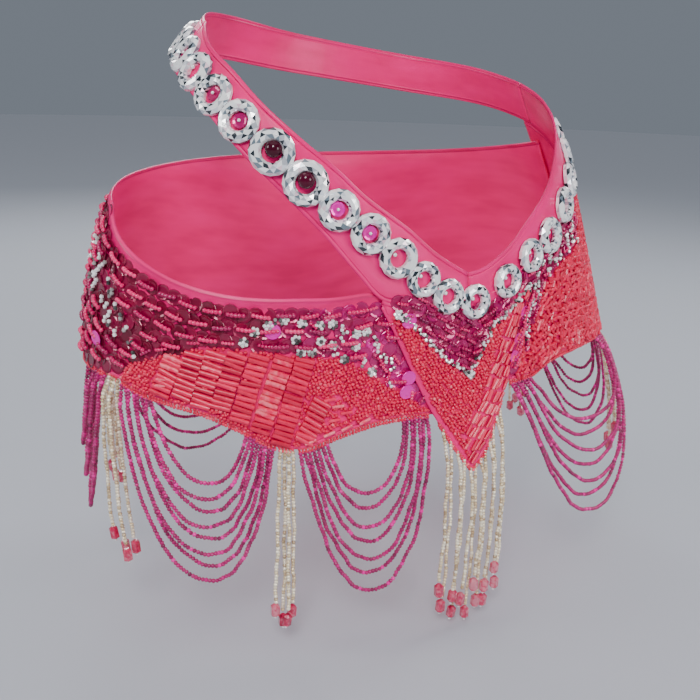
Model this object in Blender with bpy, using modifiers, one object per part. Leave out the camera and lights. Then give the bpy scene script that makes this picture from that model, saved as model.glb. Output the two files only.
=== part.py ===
"""Belly dance hip belt, in the hollow form it has when worn.

Metres, +Z up. The wearer's front faces -Y and the wearer's right side is at -X.
The origin is the middle of the hollow at hip height, where the wearer holds the belt.

Every place on the belt is an angle round the wearer, a height and an offset. The angle
is 0 at the front, negative on the wearer's right, and 180 at the middle of the back.
Heights, offsets and sizes are written in millimetres, and angles in degrees.
"""
import math

import bmesh
import bpy
import numpy as np
from mathutils import Matrix, Vector

MM = 0.001

# The general figure: one oval section for each height, all equally spaced
# height, half width, half depth, sway to the wearer's left
FIGURE = (
    (-160, 190, 102, 12),
    (-80, 190, 102, 6),
    (0, 176, 95, -6),
    (80, 151, 92, -12),
    (160, 109, 93, -8),
    (240, 73, 94, 22),
)

# Cloth layers, as offsets out from the figure
CLOTH = 2.0
HIP_LAYER = 0.8
BAND_LAYER = 3.4
BINDING_LAYER = 0.3
BINDING = 2.5
BINDING_HEIGHT = 4.0
SEAM = 0.5
BACK_SEAM_ANGLE = 0.2

# Columns of each wall, in degrees
FINE_STEP = 2.5
SIDE_STEP = 5.0
BACK_STEP = 6.0
HEM_STEPS = {"right": SIDE_STEP, "left": FINE_STEP, "back": BACK_STEP}

# Waist band, right arm: angle, upper edge, lower edge
BAND_RIGHT = (
    (-90, 175, 150),
    (-74, 162, 141),
    (-58, 149, 126),
    (-46, 135, 110),
    (-33, 118, 89),
    (-22, 101, 65),
    (-16, 89, 47),
    (-11.5, 81, 33),
    (-6, 71, 29),
    (0, 57, 20),
    (7.5, 43.5, 8),
)

# Waist band, left arm: angle, upper edge, lower edge
BAND_LEFT = (
    (7.5, 43.5, 8),
    (11.5, 45.5, 13),
    (18, 54, 23),
    (26, 69, 35),
    (37, 88, 49),
    (45, 103, 62),
    (58, 121, 81),
    (74, 136, 104),
    (90, 146, 120),
)

# Waist band round the back: angle, upper edge, lower edge
BAND_BACK = (
    (90, 146, 120),
    (110, 154, 129),
    (140, 162, 137),
    (180, 173, 148),
    (220, 182, 157),
    (250, 181, 156),
    (270, 175, 150),
)

# Line of the ring centres: angle, height
RING_RIGHT = (
    (-110, 168),
    (-90, 162),
    (-74, 151),
    (-62, 140),
    (-50, 127),
    (-38, 111),
    (-29, 96),
    (-21, 82),
    (-13.5, 68),
    (-7.5, 54),
    (1.6, 32),
)
RING_LEFT = (
    (9.9, 27),
    (17.5, 37),
    (25.6, 50),
    (37, 64),
    (45, 78),
    (55, 92),
    (74, 117),
    (90, 132),
    (110, 141),
    (140, 149),
    (180, 160),
    (220, 169),
    (250, 168),
)

# Front point: angle, lower edge. Its upper edge is the band's lower edge
POINT_EDGE_RIGHT = (
    (-11.5, 29),
    (-9.3, 16),
    (-6.1, -8),
    (-3.4, -31),
    (-0.5, -52),
    (3.7, -75),
)
POINT_EDGE_LEFT = (
    (3.7, -75),
    (7.2, -64),
    (9.9, -49),
    (12.7, -34),
    (15, -24),
    (17.5, -13),
    (19.3, 0),
    (21.5, 13),
    (24, 24),
    (27.5, 35),
)
POINT_TIP = 3.7

# Right hip panel: angle, upper edge, lower edge
HIP_RIGHT = (
    (-90, 77, -13),
    (-80, 64, -14),
    (-70, 54, -16),
    (-63, 48, -21),
    (-55, 42, -25),
    (-48, 38, -29),
    (-40, 35, -38),
    (-33, 34, -49),
    (-28, 34, -51),
    (-21, 34, -44),
    (-13, 36, -38),
    (-6, 36, -37),
    (5, 36, -42),
)

# Left hip panel: angle, lower edge. Its upper edge is the seam, then the band
HIP_LEFT = (
    (15.5, -25),
    (21, -24),
    (28, -18),
    (38, -16),
    (52, -17),
    (66, -20),
    (80, -20),
    (94, -20),
)
HIP_LEFT_START = 15.5
HIP_LEFT_MEETS_BAND = 27.5
HIP_LEFT_END = 94

# Back hip panel: angle, upper edge, lower edge
HIP_BACK = (
    (88, 108, -20),
    (105, 103, -17),
    (130, 97, -17),
    (155, 94, -24),
    (180, 93, -34),
    (205, 92, -24),
    (230, 89, -15),
    (252, 84, -13),
    (270, 77, -13),
)

# Rings
RING_SIZES = {"small": 19.4, "medium": 21.4, "large": 23.0}
RING_HOLE_SHARE = 0.46
RING_THICKNESS = 4.4
RING_GAP = 0.74
RING_LIFT = 0.9
RING_REACH = (4, 9)
RING_SIDES = 12
RING_PROFILE_SIDES = 4
RING_LAST_RIGHT = -101
RING_LAST_LEFT = 254

# The front rings, spaced as they are sewn: angle, size
RINGS_FRONT_RIGHT = (
    (-61.1, "medium"),
    (-49.6, "medium"),
    (-38.5, "large"),
    (-29.2, "large"),
    (-21.2, "medium"),
    (-14.2, "medium"),
    (-8.2, "medium"),
    (-2.9, "small"),
    (2.3, "small"),
)
RINGS_FRONT_LEFT = (
    (8.4, "small"),
    (17.2, "small"),
    (25.2, "small"),
    (33.4, "medium"),
    (43.6, "medium"),
)

# Fringe
TAPE_HEIGHT = 3.0
TAPE_DROP = 0.6
STRAND_RADIUS = 1.1
STRAND_SPREAD = 12.0
HANG = 2.4
LOOP_STEPS = 10
LOOP_SWINGS = (4.2, 1.4)
CRYSTAL_RADIUS = 2.0
CRYSTAL_LENGTH = 7.0
CRYSTAL_TIP = 1.5

# Swags of looped strands, each from one hem to the same hem. The bow is how far the
# strands stand out from the hip as they near their last roots
# name, hem, first roots from, to, last roots from, to, loops, lowest, highest bottom, bow
SWAGS = (
    ("swag_front_right", "right", -69, -60, -33.6, -38.5, 8, -133, -71, 0),
    ("swag_front_middle", "right", -28.6, -23.5, -3.8, -8.4, 7, -145, -80, 0),
    ("swag_front_left", "left", 15.8, 21, 66, 56, 7, -135, -64, 18),
    ("swag_side_left", "back", 117, 112, 76, 83, 5, -118, -70, 8),
    ("swag_back_left", "back", 173, 167, 125, 131, 5, -122, -72, 0),
    ("swag_back_right", "back", 187, 193, 234, 228, 5, -122, -72, 0),
    ("swag_side_right", "back", 244, 249, 284, 278, 5, -112, -70, 0),
)

# Tassels of straight strands with crystal ends
# name, hem, first root, last root, first end, last end as angles, heights of the ends
TASSELS = (
    ("tassel_side_right", "right", -74.0, -70.6, -74.8, -68.6, (-119, -128, -131, -126)),
    ("tassel_front_middle", "right", -32.3, -29.9, -35.6, -32.0, (-158, -167, -165, -161)),
    ("tassel_side_left", "left", 68.5, 71.9, 69.0, 73.5, (-106, -122, -112, -118)),
    ("tassel_back_left", "back", 119, 123, 118.5, 123.5, (-108, -124, -114, -120)),
    ("tassel_back_middle", "back", 178, 182, 177, 183, (-124, -138, -128, -134)),
    ("tassel_back_right", "back", 237, 241, 236.5, 241.5, (-108, -124, -114, -120)),
)
TASSEL_SWINGS = (5.5, 2.0)

# The front point's own tassel: root angle and end height of each strand
POINT_TAPE = (-2.0, 12.6)
POINT_TAPE_HEIGHT = 5.0
POINT_TAPE_DROP = 1.2
POINT_LEAN = -2.6
POINT_SWINGS = (1.0, 4.6)
POINT_STRANDS = (
    (-1.3, -158),
    (-0.1, -172),
    (1.1, -164),
    (2.3, -178),
    (3.5, -168),
    (4.7, -181),
    (5.9, -160),
    (7.1, -175),
    (8.3, -163),
    (9.5, -176),
    (10.7, -152),
    (11.9, -166),
)

# name, colour, roughness, metallic
MATERIALS = {
    "satin": ((0.80, 0.04, 0.17, 1.0), 0.38, 0.0),
    "acrylic": ((0.86, 0.87, 0.90, 1.0), 0.08, 0.1),
    "magenta_beads": ((0.50, 0.01, 0.22, 1.0), 0.25, 0.0),
    "silver_beads": ((0.80, 0.76, 0.66, 1.0), 0.22, 0.3),
}


def remove_everything():
    for thing in list(bpy.data.objects):
        bpy.data.objects.remove(thing, do_unlink=True)


def new_collection(name):
    collection = bpy.data.collections.new(name)
    bpy.context.scene.collection.children.link(collection)
    return collection


def make_material(name):
    colour, roughness, metallic = MATERIALS[name]
    material = bpy.data.materials.new(name)
    material.use_nodes = True
    material.diffuse_color = colour
    shader = material.node_tree.nodes["Principled BSDF"]
    shader.inputs["Base Color"].default_value = colour
    shader.inputs["Roughness"].default_value = roughness
    shader.inputs["Metallic"].default_value = metallic
    return material


def smooth_between(before, low, high, after, share):
    """The cubic through low and high that heads the way its neighbours lie."""
    leave = (high - before) / 2
    arrive = (after - low) / 2
    bend = 3 * (high - low) - 2 * leave - arrive
    settle = 2 * (low - high) + leave + arrive
    return low + share * (leave + share * (bend + share * settle))


def figure_section(height):
    """Half width, half depth and sway of the figure at one height."""
    spacing = FIGURE[1][0] - FIGURE[0][0]
    place = min(max((height - FIGURE[0][0]) / spacing, 0), len(FIGURE) - 1.000001)
    low = int(place)
    rows = [FIGURE[min(max(low + step, 0), len(FIGURE) - 1)] for step in (-1, 0, 1, 2)]
    return [smooth_between(*(row[column] for row in rows), place - low) for column in (1, 2, 3)]


def on_figure(angle, height, offset):
    half_width, half_depth, sway = figure_section(height)
    turn = math.radians(angle)
    x = sway + (half_width + offset) * math.sin(turn)
    y = -(half_depth + offset) * math.cos(turn)
    return Vector((x, y, height)) * MM


def outward(angle, height, offset):
    """The way the cloth faces under a ring, judged across the ring's width."""
    turn, rise = RING_REACH
    across = on_figure(angle + turn, height, offset) - on_figure(angle - turn, height, offset)
    up = on_figure(angle, height + rise, offset) - on_figure(angle, height - rise, offset)
    return across.cross(up).normalized()


def along(rows, column, angle):
    """A smooth line through one column of a table whose first column is the angle."""
    stations = np.array([row[0] for row in rows], float)
    values = np.array([row[column] for row in rows], float)
    slopes = np.gradient(values, stations)
    index = int(np.clip(np.searchsorted(stations, angle) - 1, 0, len(rows) - 2))
    run = stations[index + 1] - stations[index]
    share = min(max((angle - stations[index]) / run, 0.0), 1.0)
    start, end = values[index], values[index + 1]
    rise_out = (share ** 3 - 2 * share ** 2 + share) * run * slopes[index]
    rise_in = (share ** 3 - share ** 2) * run * slopes[index + 1]
    blend = 3 * share ** 2 - 2 * share ** 3
    return float(start * (1 - blend) + end * blend + rise_out + rise_in)


def band_top(angle):
    if angle <= BAND_LEFT[0][0]:
        return along(BAND_RIGHT, 1, angle)
    if angle <= BAND_LEFT[-1][0]:
        return along(BAND_LEFT, 1, angle)
    return along(BAND_BACK, 1, angle)


def band_bottom(angle):
    if angle <= BAND_LEFT[0][0]:
        return along(BAND_RIGHT, 2, angle)
    if angle <= BAND_LEFT[-1][0]:
        return along(BAND_LEFT, 2, angle)
    return along(BAND_BACK, 2, angle)


def point_top(angle):
    return band_bottom(angle) - SEAM


def point_bottom(angle):
    if angle <= POINT_TIP:
        return along(POINT_EDGE_RIGHT, 1, angle)
    return along(POINT_EDGE_LEFT, 1, angle)


def hip_left_top(angle):
    if angle <= HIP_LEFT_MEETS_BAND:
        steep_gap = 3 * SEAM
        return along(POINT_EDGE_LEFT, 1, angle) - steep_gap
    return band_bottom(angle) - SEAM


def hip_left_bottom(angle):
    slope_room = 2 * SEAM
    return min(along(HIP_LEFT, 1, angle), hip_left_top(angle) - slope_room)


def hem(side, angle):
    """The height of the hem that a fringe hangs from, and its cloth's offset."""
    if side == "right":
        return along(HIP_RIGHT, 2, angle), HIP_LAYER
    if side == "left":
        return along(HIP_LEFT, 1, angle), BAND_LAYER
    if angle > HIP_BACK[-1][0]:
        return along(HIP_RIGHT, 2, angle - 360), HIP_LAYER
    return along(HIP_BACK, 2, angle), HIP_LAYER


def column_angles(first, last, step):
    """The ends of a wall, and between them the multiples of its step."""
    margin = step / 3
    start = math.ceil((first + margin) / step)
    stop = math.floor((last - margin) / step)
    return [first] + [index * step for index in range(start, stop + 1)] + [last]


def wall(name, ends, step, top, bottom, layer, thickness, rows, material, collection):
    """A grid laid on the figure between two edges, given its thickness outwards."""
    angles = column_angles(ends[0], ends[1], step)
    columns = len(angles) - 1
    sheet = bmesh.new()
    bmesh.ops.create_grid(sheet, x_segments=columns, y_segments=rows, size=0.5)
    for vertex in sheet.verts:
        angle = angles[round((vertex.co.x + 0.5) * columns)]
        share = vertex.co.y + 0.5
        height = bottom(angle) + share * (top(angle) - bottom(angle))
        vertex.co = on_figure(angle, height, layer)
    mesh = bpy.data.meshes.new(name)
    sheet.to_mesh(mesh)
    sheet.free()
    piece = bpy.data.objects.new(name, mesh)
    collection.objects.link(piece)
    piece.data.materials.append(material)
    shell = piece.modifiers.new("cloth thickness", "SOLIDIFY")
    shell.thickness = thickness * MM
    shell.offset = 1.0
    mesh.shade_smooth()
    return piece


def cloth_pieces(satin, collection):
    right_end = BAND_RIGHT[-1][0]
    gap = BACK_SEAM_ANGLE
    wall("waist_band_right", (-90, right_end - gap / 2), FINE_STEP, band_top, band_bottom,
         BAND_LAYER, CLOTH, 2, satin, collection)
    wall("waist_band_left", (right_end + gap / 2, 90), FINE_STEP, band_top, band_bottom,
         BAND_LAYER, CLOTH, 2, satin, collection)
    wall("waist_band_back", (90 + gap, 270 - gap), BACK_STEP, band_top, band_bottom,
         BAND_LAYER, CLOTH, 2, satin, collection)
    wall("front_point", (POINT_EDGE_RIGHT[0][0] + gap, HIP_LEFT_MEETS_BAND), FINE_STEP,
         point_top, point_bottom, BAND_LAYER, CLOTH, 4, satin, collection)
    wall("hip_panel_left", (HIP_LEFT_START, HIP_LEFT_END), FINE_STEP, hip_left_top,
         hip_left_bottom, BAND_LAYER, CLOTH, 5, satin, collection)

    def below_binding(table):
        return lambda angle: along(table, 1, angle) - BINDING_HEIGHT - SEAM

    wall("hip_panel_right", (-90, HIP_RIGHT[-1][0]), SIDE_STEP, below_binding(HIP_RIGHT),
         lambda angle: along(HIP_RIGHT, 2, angle), HIP_LAYER, CLOTH, 4, satin, collection)
    wall("hip_panel_back", (HIP_BACK[0][0], 270 - gap), BACK_STEP, below_binding(HIP_BACK),
         lambda angle: along(HIP_BACK, 2, angle), HIP_LAYER, CLOTH, 4, satin, collection)
    wall("hip_binding_right", (-90, -12.5), SIDE_STEP, lambda angle: along(HIP_RIGHT, 1, angle),
         lambda angle: along(HIP_RIGHT, 1, angle) - BINDING_HEIGHT,
         BINDING_LAYER, BINDING, 1, satin, collection)
    wall("hip_binding_back", (HIP_BACK[0][0], 270 - gap), BACK_STEP,
         lambda angle: along(HIP_BACK, 1, angle),
         lambda angle: along(HIP_BACK, 1, angle) - BINDING_HEIGHT,
         BINDING_LAYER, BINDING, 1, satin, collection)


def ring_mesh(size):
    diameter = RING_SIZES[size]
    tube_width = diameter * (1 - RING_HOLE_SHARE) / 2
    bpy.ops.mesh.primitive_torus_add(
        major_segments=RING_SIDES, minor_segments=RING_PROFILE_SIDES,
        major_radius=(diameter - tube_width) / 2 * MM, minor_radius=tube_width / 2 * MM)
    pattern = bpy.context.object
    mesh = pattern.data
    mesh.name = "ring " + size
    mesh.transform(Matrix.Diagonal((1, 1, RING_THICKNESS / tube_width, 1)))
    bpy.data.objects.remove(pattern, do_unlink=True)
    mesh.shade_smooth()
    return mesh


def rings_onward(line, start, last, way):
    """The medium rings that carry on past a front ring, one ring's width apart."""
    seat = BAND_LAYER + CLOTH
    pitch = (RING_SIZES["medium"] + RING_GAP) * MM
    step = 0.05
    angle = start
    places = []
    centre = on_figure(angle, along(line, 1, angle), seat)
    while (angle - last) * way < 0:
        angle += way * step
        spot = on_figure(angle, along(line, 1, angle), seat)
        if (spot - centre).length >= pitch:
            places.append((angle, "medium"))
            centre = spot
    return places


def rings(acrylic, collection):
    meshes = {size: ring_mesh(size) for size in RING_SIZES}
    for mesh in meshes.values():
        mesh.materials.append(acrylic)
    seat = BAND_LAYER + CLOTH + RING_LIFT + RING_THICKNESS / 2
    right = rings_onward(RING_RIGHT, RINGS_FRONT_RIGHT[0][0], RING_LAST_RIGHT, -1)
    left = rings_onward(RING_LEFT, RINGS_FRONT_LEFT[-1][0], RING_LAST_LEFT, 1)
    right = list(reversed(right)) + list(RINGS_FRONT_RIGHT)
    left = list(RINGS_FRONT_LEFT) + left
    places = [(RING_RIGHT, *row) for row in right] + [(RING_LEFT, *row) for row in left]
    for number, (line, angle, size) in enumerate(places, start=1):
        height = along(line, 1, angle)
        ring = bpy.data.objects.new("ring_%02d" % number, meshes[size])
        ring.location = on_figure(angle, height, seat)
        ring.rotation_mode = "QUATERNION"
        ring.rotation_quaternion = outward(angle, height, seat).to_track_quat("Z", "Y")
        collection.objects.link(ring)


def strand(name, points, widths, material, collection):
    """A four-sided tube through the points, made a closed mesh for joining."""
    curve = bpy.data.curves.new(name, "CURVE")
    curve.dimensions = "3D"
    curve.bevel_depth = STRAND_RADIUS * MM
    curve.bevel_resolution = 0
    curve.use_fill_caps = True
    line = curve.splines.new("POLY")
    line.points.add(len(points) - 1)
    for spot, place, width in zip(line.points, points, widths):
        spot.co = (*place, 1.0)
        spot.radius = width
    tube = bpy.data.objects.new(name, curve)
    collection.objects.link(tube)
    bpy.context.view_layer.update()
    evaluated = tube.evaluated_get(bpy.context.evaluated_depsgraph_get())
    mesh = bpy.data.meshes.new_from_object(evaluated)
    bpy.data.objects.remove(tube, do_unlink=True)
    weld = bmesh.new()
    weld.from_mesh(mesh)
    bmesh.ops.remove_doubles(weld, verts=weld.verts, dist=0.00001)
    bmesh.ops.recalc_face_normals(weld, faces=weld.faces)
    weld.to_mesh(mesh)
    weld.free()
    mesh.materials.clear()
    mesh.materials.append(material)
    piece = bpy.data.objects.new(name, mesh)
    piece.hide_render = True
    piece.display_type = "WIRE"
    collection.objects.link(piece)
    return piece


def fuse(tape, strands):
    for number, piece in enumerate(strands, start=1):
        joint = tape.modifiers.new("strand %d" % number, "BOOLEAN")
        joint.operation = "UNION"
        joint.solver = "EXACT"
        joint.object = piece


def eased(drop, inner, outer):
    """The offset of a strand that leaves its tape and swings clear of it."""
    share = min(drop / STRAND_SPREAD, 1.0)
    return inner + (outer - inner) * share * share * (3 - 2 * share)


def loop_points(side, left, right, bottom, swing, bow):
    """One looped strand, hanging as a chain does between two roots on a hem."""
    left_height, layer = hem(side, left)
    right_height = hem(side, right)[0]
    root = TAPE_DROP + TAPE_HEIGHT / 2
    left_height -= root
    right_height -= root
    sag = (left_height + right_height) / 2 - bottom
    points = []
    for index in range(LOOP_STEPS + 1):
        even = 2 * index / LOOP_STEPS - 1
        by_length = math.asinh(even * math.sinh(HANG)) / HANG
        place = (even + by_length) / 2
        share = (place + 1) / 2
        angle = left + (right - left) * share
        lift = (math.cosh(HANG * place) - 1) / (math.cosh(HANG) - 1)
        line = left_height + (right_height - left_height) * share
        drop = sag * (1 - lift)
        offset = eased(drop, layer + CLOTH / 2, layer + swing)
        offset += bow * share ** 2 * drop / sag
        points.append(on_figure(angle, line - drop, offset))
    return points


def swag(row, material, collection, strands_collection):
    name, side, left_from, left_to, right_from, right_to, loops, lowest, highest, bow = row
    low, high = sorted((left_from, right_from))
    reach = 0.6
    tape = wall(name, (low - reach, high + reach), HEM_STEPS[side],
                lambda angle: hem(side, angle)[0] - TAPE_DROP,
                lambda angle: hem(side, angle)[0] - TAPE_DROP - TAPE_HEIGHT,
                hem(side, low)[1], CLOTH, 1, material, collection)
    strands = []
    for index in range(loops):
        share = index / (loops - 1)
        left = left_from + (left_to - left_from) * share
        right = right_from + (right_to - right_from) * share
        bottom = lowest + (highest - lowest) * share
        swing = LOOP_SWINGS[index % 2]
        points = loop_points(side, left, right, bottom, swing, bow)
        widths = [1.0] * len(points)
        strands.append(strand("%s_%02d" % (name, index + 1), points, widths, material,
                              strands_collection))
    fuse(tape, strands)


def straight_strand(name, start, turn_end, end, layer, swing, material, collection):
    """A strand that falls from (angle, height) and ends in a wider crystal."""
    angle, height = start
    crystal_top = end + CRYSTAL_TIP + CRYSTAL_LENGTH
    levels = [height, height - STRAND_SPREAD / 2, height - STRAND_SPREAD]
    levels += [(levels[-1] + crystal_top) / 2, crystal_top + CRYSTAL_TIP, crystal_top]
    levels += [end + CRYSTAL_TIP, end]
    crystal = CRYSTAL_RADIUS / STRAND_RADIUS
    widths = [1.0, 1.0, 1.0, 1.0, 1.0, crystal, crystal, 0.8]
    points = []
    for level in levels:
        share = (height - level) / (height - end)
        turn = angle + (turn_end - angle) * share
        offset = eased(height - level, layer + CLOTH / 2, layer + swing)
        points.append(on_figure(turn, level, offset))
    return strand(name, points, widths, material, collection)


def tassel(row, material, collection, strands_collection):
    name, side, first, last, first_end, last_end, ends = row
    reach = 0.7
    layer = hem(side, first)[1]
    tape = wall(name, (first - reach, last + reach), HEM_STEPS[side],
                lambda angle: hem(side, angle)[0] - TAPE_DROP,
                lambda angle: hem(side, angle)[0] - TAPE_DROP - TAPE_HEIGHT,
                layer, CLOTH, 1, material, collection)
    strands = []
    for index, end in enumerate(ends):
        share = index / (len(ends) - 1)
        angle = first + (last - first) * share
        turn_end = first_end + (last_end - first_end) * share
        start = (angle, hem(side, angle)[0] - TAPE_DROP - TAPE_HEIGHT / 2)
        swing = TASSEL_SWINGS[index % 2]
        strands.append(straight_strand("%s_%02d" % (name, index + 1), start, turn_end, end,
                                       layer, swing, material, strands_collection))
    fuse(tape, strands)


def point_tassel(material, collection, strands_collection):
    name = "tassel_front_point"
    tape = wall(name, POINT_TAPE, FINE_STEP / 2,
                lambda angle: point_bottom(angle) - POINT_TAPE_DROP,
                lambda angle: point_bottom(angle) - POINT_TAPE_DROP - POINT_TAPE_HEIGHT,
                BAND_LAYER, CLOTH, 1, material, collection)
    strands = []
    for index, (angle, end) in enumerate(POINT_STRANDS, start=1):
        start = (angle, point_bottom(angle) - POINT_TAPE_DROP - POINT_TAPE_HEIGHT / 2)
        swing = POINT_SWINGS[index % 2]
        strands.append(straight_strand("%s_%02d" % (name, index), start, angle + POINT_LEAN,
                                       end, BAND_LAYER, swing, material, strands_collection))
    fuse(tape, strands)


def main():
    remove_everything()
    belt = new_collection("belly dance hip belt")
    strands_collection = new_collection("strands")
    materials = {name: make_material(name) for name in MATERIALS}
    cloth_pieces(materials["satin"], belt)
    rings(materials["acrylic"], belt)
    for row in SWAGS:
        swag(row, materials["magenta_beads"], belt, strands_collection)
    for row in TASSELS:
        tassel(row, materials["silver_beads"], belt, strands_collection)
    point_tassel(materials["silver_beads"], belt, strands_collection)


main()
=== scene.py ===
# %% [markdown]
# # A belly dance hip belt
# The real belt is satin cut in curved pieces, covered with sewn sequins and glass beads,
# with a row of foiled rings on its waist band and loops of threaded beads under its hem.
# This notebook dresses the plain CAD belt with all of that. The CAD is a fixed frame: it
# gives every size and place, and the pieces made here are laid over it or stand for it.

# %% Load the fixed frame
import math

import bmesh
import bpy
import numpy as np
from mathutils import Matrix, Vector, noise


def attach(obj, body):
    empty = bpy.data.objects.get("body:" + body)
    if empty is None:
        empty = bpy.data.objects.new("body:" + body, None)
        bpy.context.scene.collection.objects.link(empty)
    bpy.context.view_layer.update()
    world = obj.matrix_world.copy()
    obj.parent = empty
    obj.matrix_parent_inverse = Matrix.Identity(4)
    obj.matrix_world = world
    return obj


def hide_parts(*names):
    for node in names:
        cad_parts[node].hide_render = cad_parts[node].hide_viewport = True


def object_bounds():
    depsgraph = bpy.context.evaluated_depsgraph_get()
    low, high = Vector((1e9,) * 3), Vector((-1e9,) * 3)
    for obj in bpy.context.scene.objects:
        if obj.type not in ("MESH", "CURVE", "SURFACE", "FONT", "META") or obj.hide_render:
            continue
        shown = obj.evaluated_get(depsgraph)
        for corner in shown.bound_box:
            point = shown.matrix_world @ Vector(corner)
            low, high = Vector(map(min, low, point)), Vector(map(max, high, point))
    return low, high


MM = 0.001
BODY = "root"

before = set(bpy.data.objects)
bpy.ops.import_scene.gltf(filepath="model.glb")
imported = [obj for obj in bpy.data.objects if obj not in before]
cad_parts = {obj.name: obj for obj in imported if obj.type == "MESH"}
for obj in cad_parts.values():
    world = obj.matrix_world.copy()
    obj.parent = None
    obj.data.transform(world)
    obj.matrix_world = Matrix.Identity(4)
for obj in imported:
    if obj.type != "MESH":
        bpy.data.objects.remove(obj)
cad_low, cad_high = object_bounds()
print("CAD nodes:", len(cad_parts))
print("CAD box in mm:", [round((high - low) / MM, 1) for low, high in zip(cad_low, cad_high)])

# %% [markdown]
# ## The camera
# The photograph looks at the wearer's front from a little above and from the wearer's
# right, with a normal lens and a slight roll. The camera is a point at a distance behind
# its aim, so its three axes are worked out first and then put in one matrix.

# %% Aim the camera
AZIMUTH = math.radians(-27.459)
ELEVATION = math.radians(17.338)
ROLL = math.radians(1.827)
DISTANCE = 0.6292
AIM_ACROSS = -0.0107
AIM_HEIGHT = -0.0297
LENS = 47.755

level = math.cos(ELEVATION)
back = Vector((math.sin(AZIMUTH) * level, -math.cos(AZIMUTH) * level, math.sin(ELEVATION)))
across = Vector((math.cos(AZIMUTH), math.sin(AZIMUTH), 0.0))
upward = back.cross(across)
rolled_across = across * math.cos(ROLL) + upward * math.sin(ROLL)
rolled_upward = upward * math.cos(ROLL) - across * math.sin(ROLL)
aim = across * AIM_ACROSS + Vector((0.0, 0.0, AIM_HEIGHT))

lens = bpy.data.cameras.new("camera")
lens.lens = LENS
camera = bpy.data.objects.new("camera", lens)
axes = Matrix((rolled_across, rolled_upward, back)).transposed().to_4x4()
camera.matrix_world = Matrix.Translation(aim + back * DISTANCE) @ axes
bpy.context.scene.collection.objects.link(camera)
bpy.context.scene.camera = camera
print("camera stands at", [round(value, 3) for value in camera.matrix_world.translation])

# %% [markdown]
# ## Floor and light
# Glass and foil only look like glass and foil when they have something bright to mirror.
# So a few large soft lamps stand round the belt, over a plain pale floor, and a pale
# world fills the shadows. Every side gets a lamp, because the belt is seen from all sides,
# and a wide soft sun from above keeps the floor as pale far away as it is near the belt.

# %% Lay the floor and hang the lamps
FLOOR_GAP = 2.0
FLOOR_RADIUS = 5.0
FLOOR_COLOUR = (0.42, 0.44, 0.49, 1.0)
WORLD_COLOUR = (0.60, 0.68, 0.80, 1.0)
WORLD_STRENGTH = 0.29
SUN_STRENGTH = 0.8
SUN_SPREAD = math.radians(70)

# name, place in metres, size in metres, watts
LAMPS = (
    ("key lamp", (-0.75, -1.15, 1.05), 0.55, 18.0),
    ("front lamp", (0.55, -1.30, 0.35), 0.60, 8.0),
    ("left lamp", (1.30, 0.10, 0.80), 0.60, 8.0),
    ("right lamp", (-1.35, 0.25, 0.60), 0.60, 7.0),
    ("back lamp", (0.15, 1.40, 0.85), 0.70, 9.0),
)


def finished_mesh(name, sheet):
    """Turns a bmesh into a linked object at the origin."""
    mesh = bpy.data.meshes.new(name)
    sheet.to_mesh(mesh)
    sheet.free()
    piece = bpy.data.objects.new(name, mesh)
    bpy.context.scene.collection.objects.link(piece)
    return piece


def soft_lamp(name, place, size, watts):
    lamp = bpy.data.lights.new(name, "AREA")
    lamp.shape = "DISK"
    lamp.size = size
    lamp.energy = watts
    holder = bpy.data.objects.new(name, lamp)
    holder.location = place
    holder.rotation_mode = "QUATERNION"
    holder.rotation_quaternion = Vector(place).to_track_quat("Z", "Y")
    bpy.context.scene.collection.objects.link(holder)


sheet = bmesh.new()
bmesh.ops.create_circle(sheet, cap_ends=True, segments=96, radius=FLOOR_RADIUS)
bmesh.ops.translate(sheet, vec=(0, 0, cad_low.z - FLOOR_GAP * MM), verts=sheet.verts)
floor = finished_mesh("floor", sheet)

paint = bpy.data.materials.new("floor paint")
paint.use_nodes = True
shader = paint.node_tree.nodes["Principled BSDF"]
shader.inputs["Base Color"].default_value = FLOOR_COLOUR
shader.inputs["Roughness"].default_value = 0.75
floor.data.materials.append(paint)

world = bpy.data.worlds.new("studio")
world.use_nodes = True
world.node_tree.nodes["Background"].inputs["Color"].default_value = WORLD_COLOUR
world.node_tree.nodes["Background"].inputs["Strength"].default_value = WORLD_STRENGTH
bpy.context.scene.world = world

for row in LAMPS:
    soft_lamp(*row)
sun = bpy.data.lights.new("sky", "SUN")
sun.energy = SUN_STRENGTH
sun.angle = SUN_SPREAD
bpy.context.scene.collection.objects.link(bpy.data.objects.new("sky", sun))
print("lamps:", len(LAMPS) + 1)

# %% [markdown]
# ## The wearer's shape
# Every place on the belt is an angle round the wearer, a height and an offset outwards.
# The wearer is an oval that changes with height, given by the same six sections as in the
# CAD. The helpers take whole arrays of places at once, because the beads run to thousands.

# %% Figure and its helpers
# height, half width, half depth, sway to the wearer's left, in millimetres
FIGURE = (
    (-160, 190, 102, 12),
    (-80, 190, 102, 6),
    (0, 176, 95, -6),
    (80, 151, 92, -12),
    (160, 109, 93, -8),
    (240, 73, 94, 22),
)


def smooth_between(before, low, high, after, share):
    """The cubic through low and high that heads the way its neighbours lie."""
    leave = (high - before) / 2
    arrive = (after - low) / 2
    bend = 3 * (high - low) - 2 * leave - arrive
    settle = 2 * (low - high) + leave + arrive
    return low + share * (leave + share * (bend + share * settle))


def figure_section(height):
    """Half width, half depth and sway of the figure at each height."""
    rows = np.array(FIGURE, float)
    spacing = rows[1, 0] - rows[0, 0]
    place = np.clip((np.asarray(height) - rows[0, 0]) / spacing, 0, len(rows) - 1.000001)
    low = place.astype(int)
    near = [rows[np.clip(low + step, 0, len(rows) - 1)] for step in (-1, 0, 1, 2)]
    section = smooth_between(*near, (place - low)[..., None])
    return section[..., 1], section[..., 2], section[..., 3]


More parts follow.
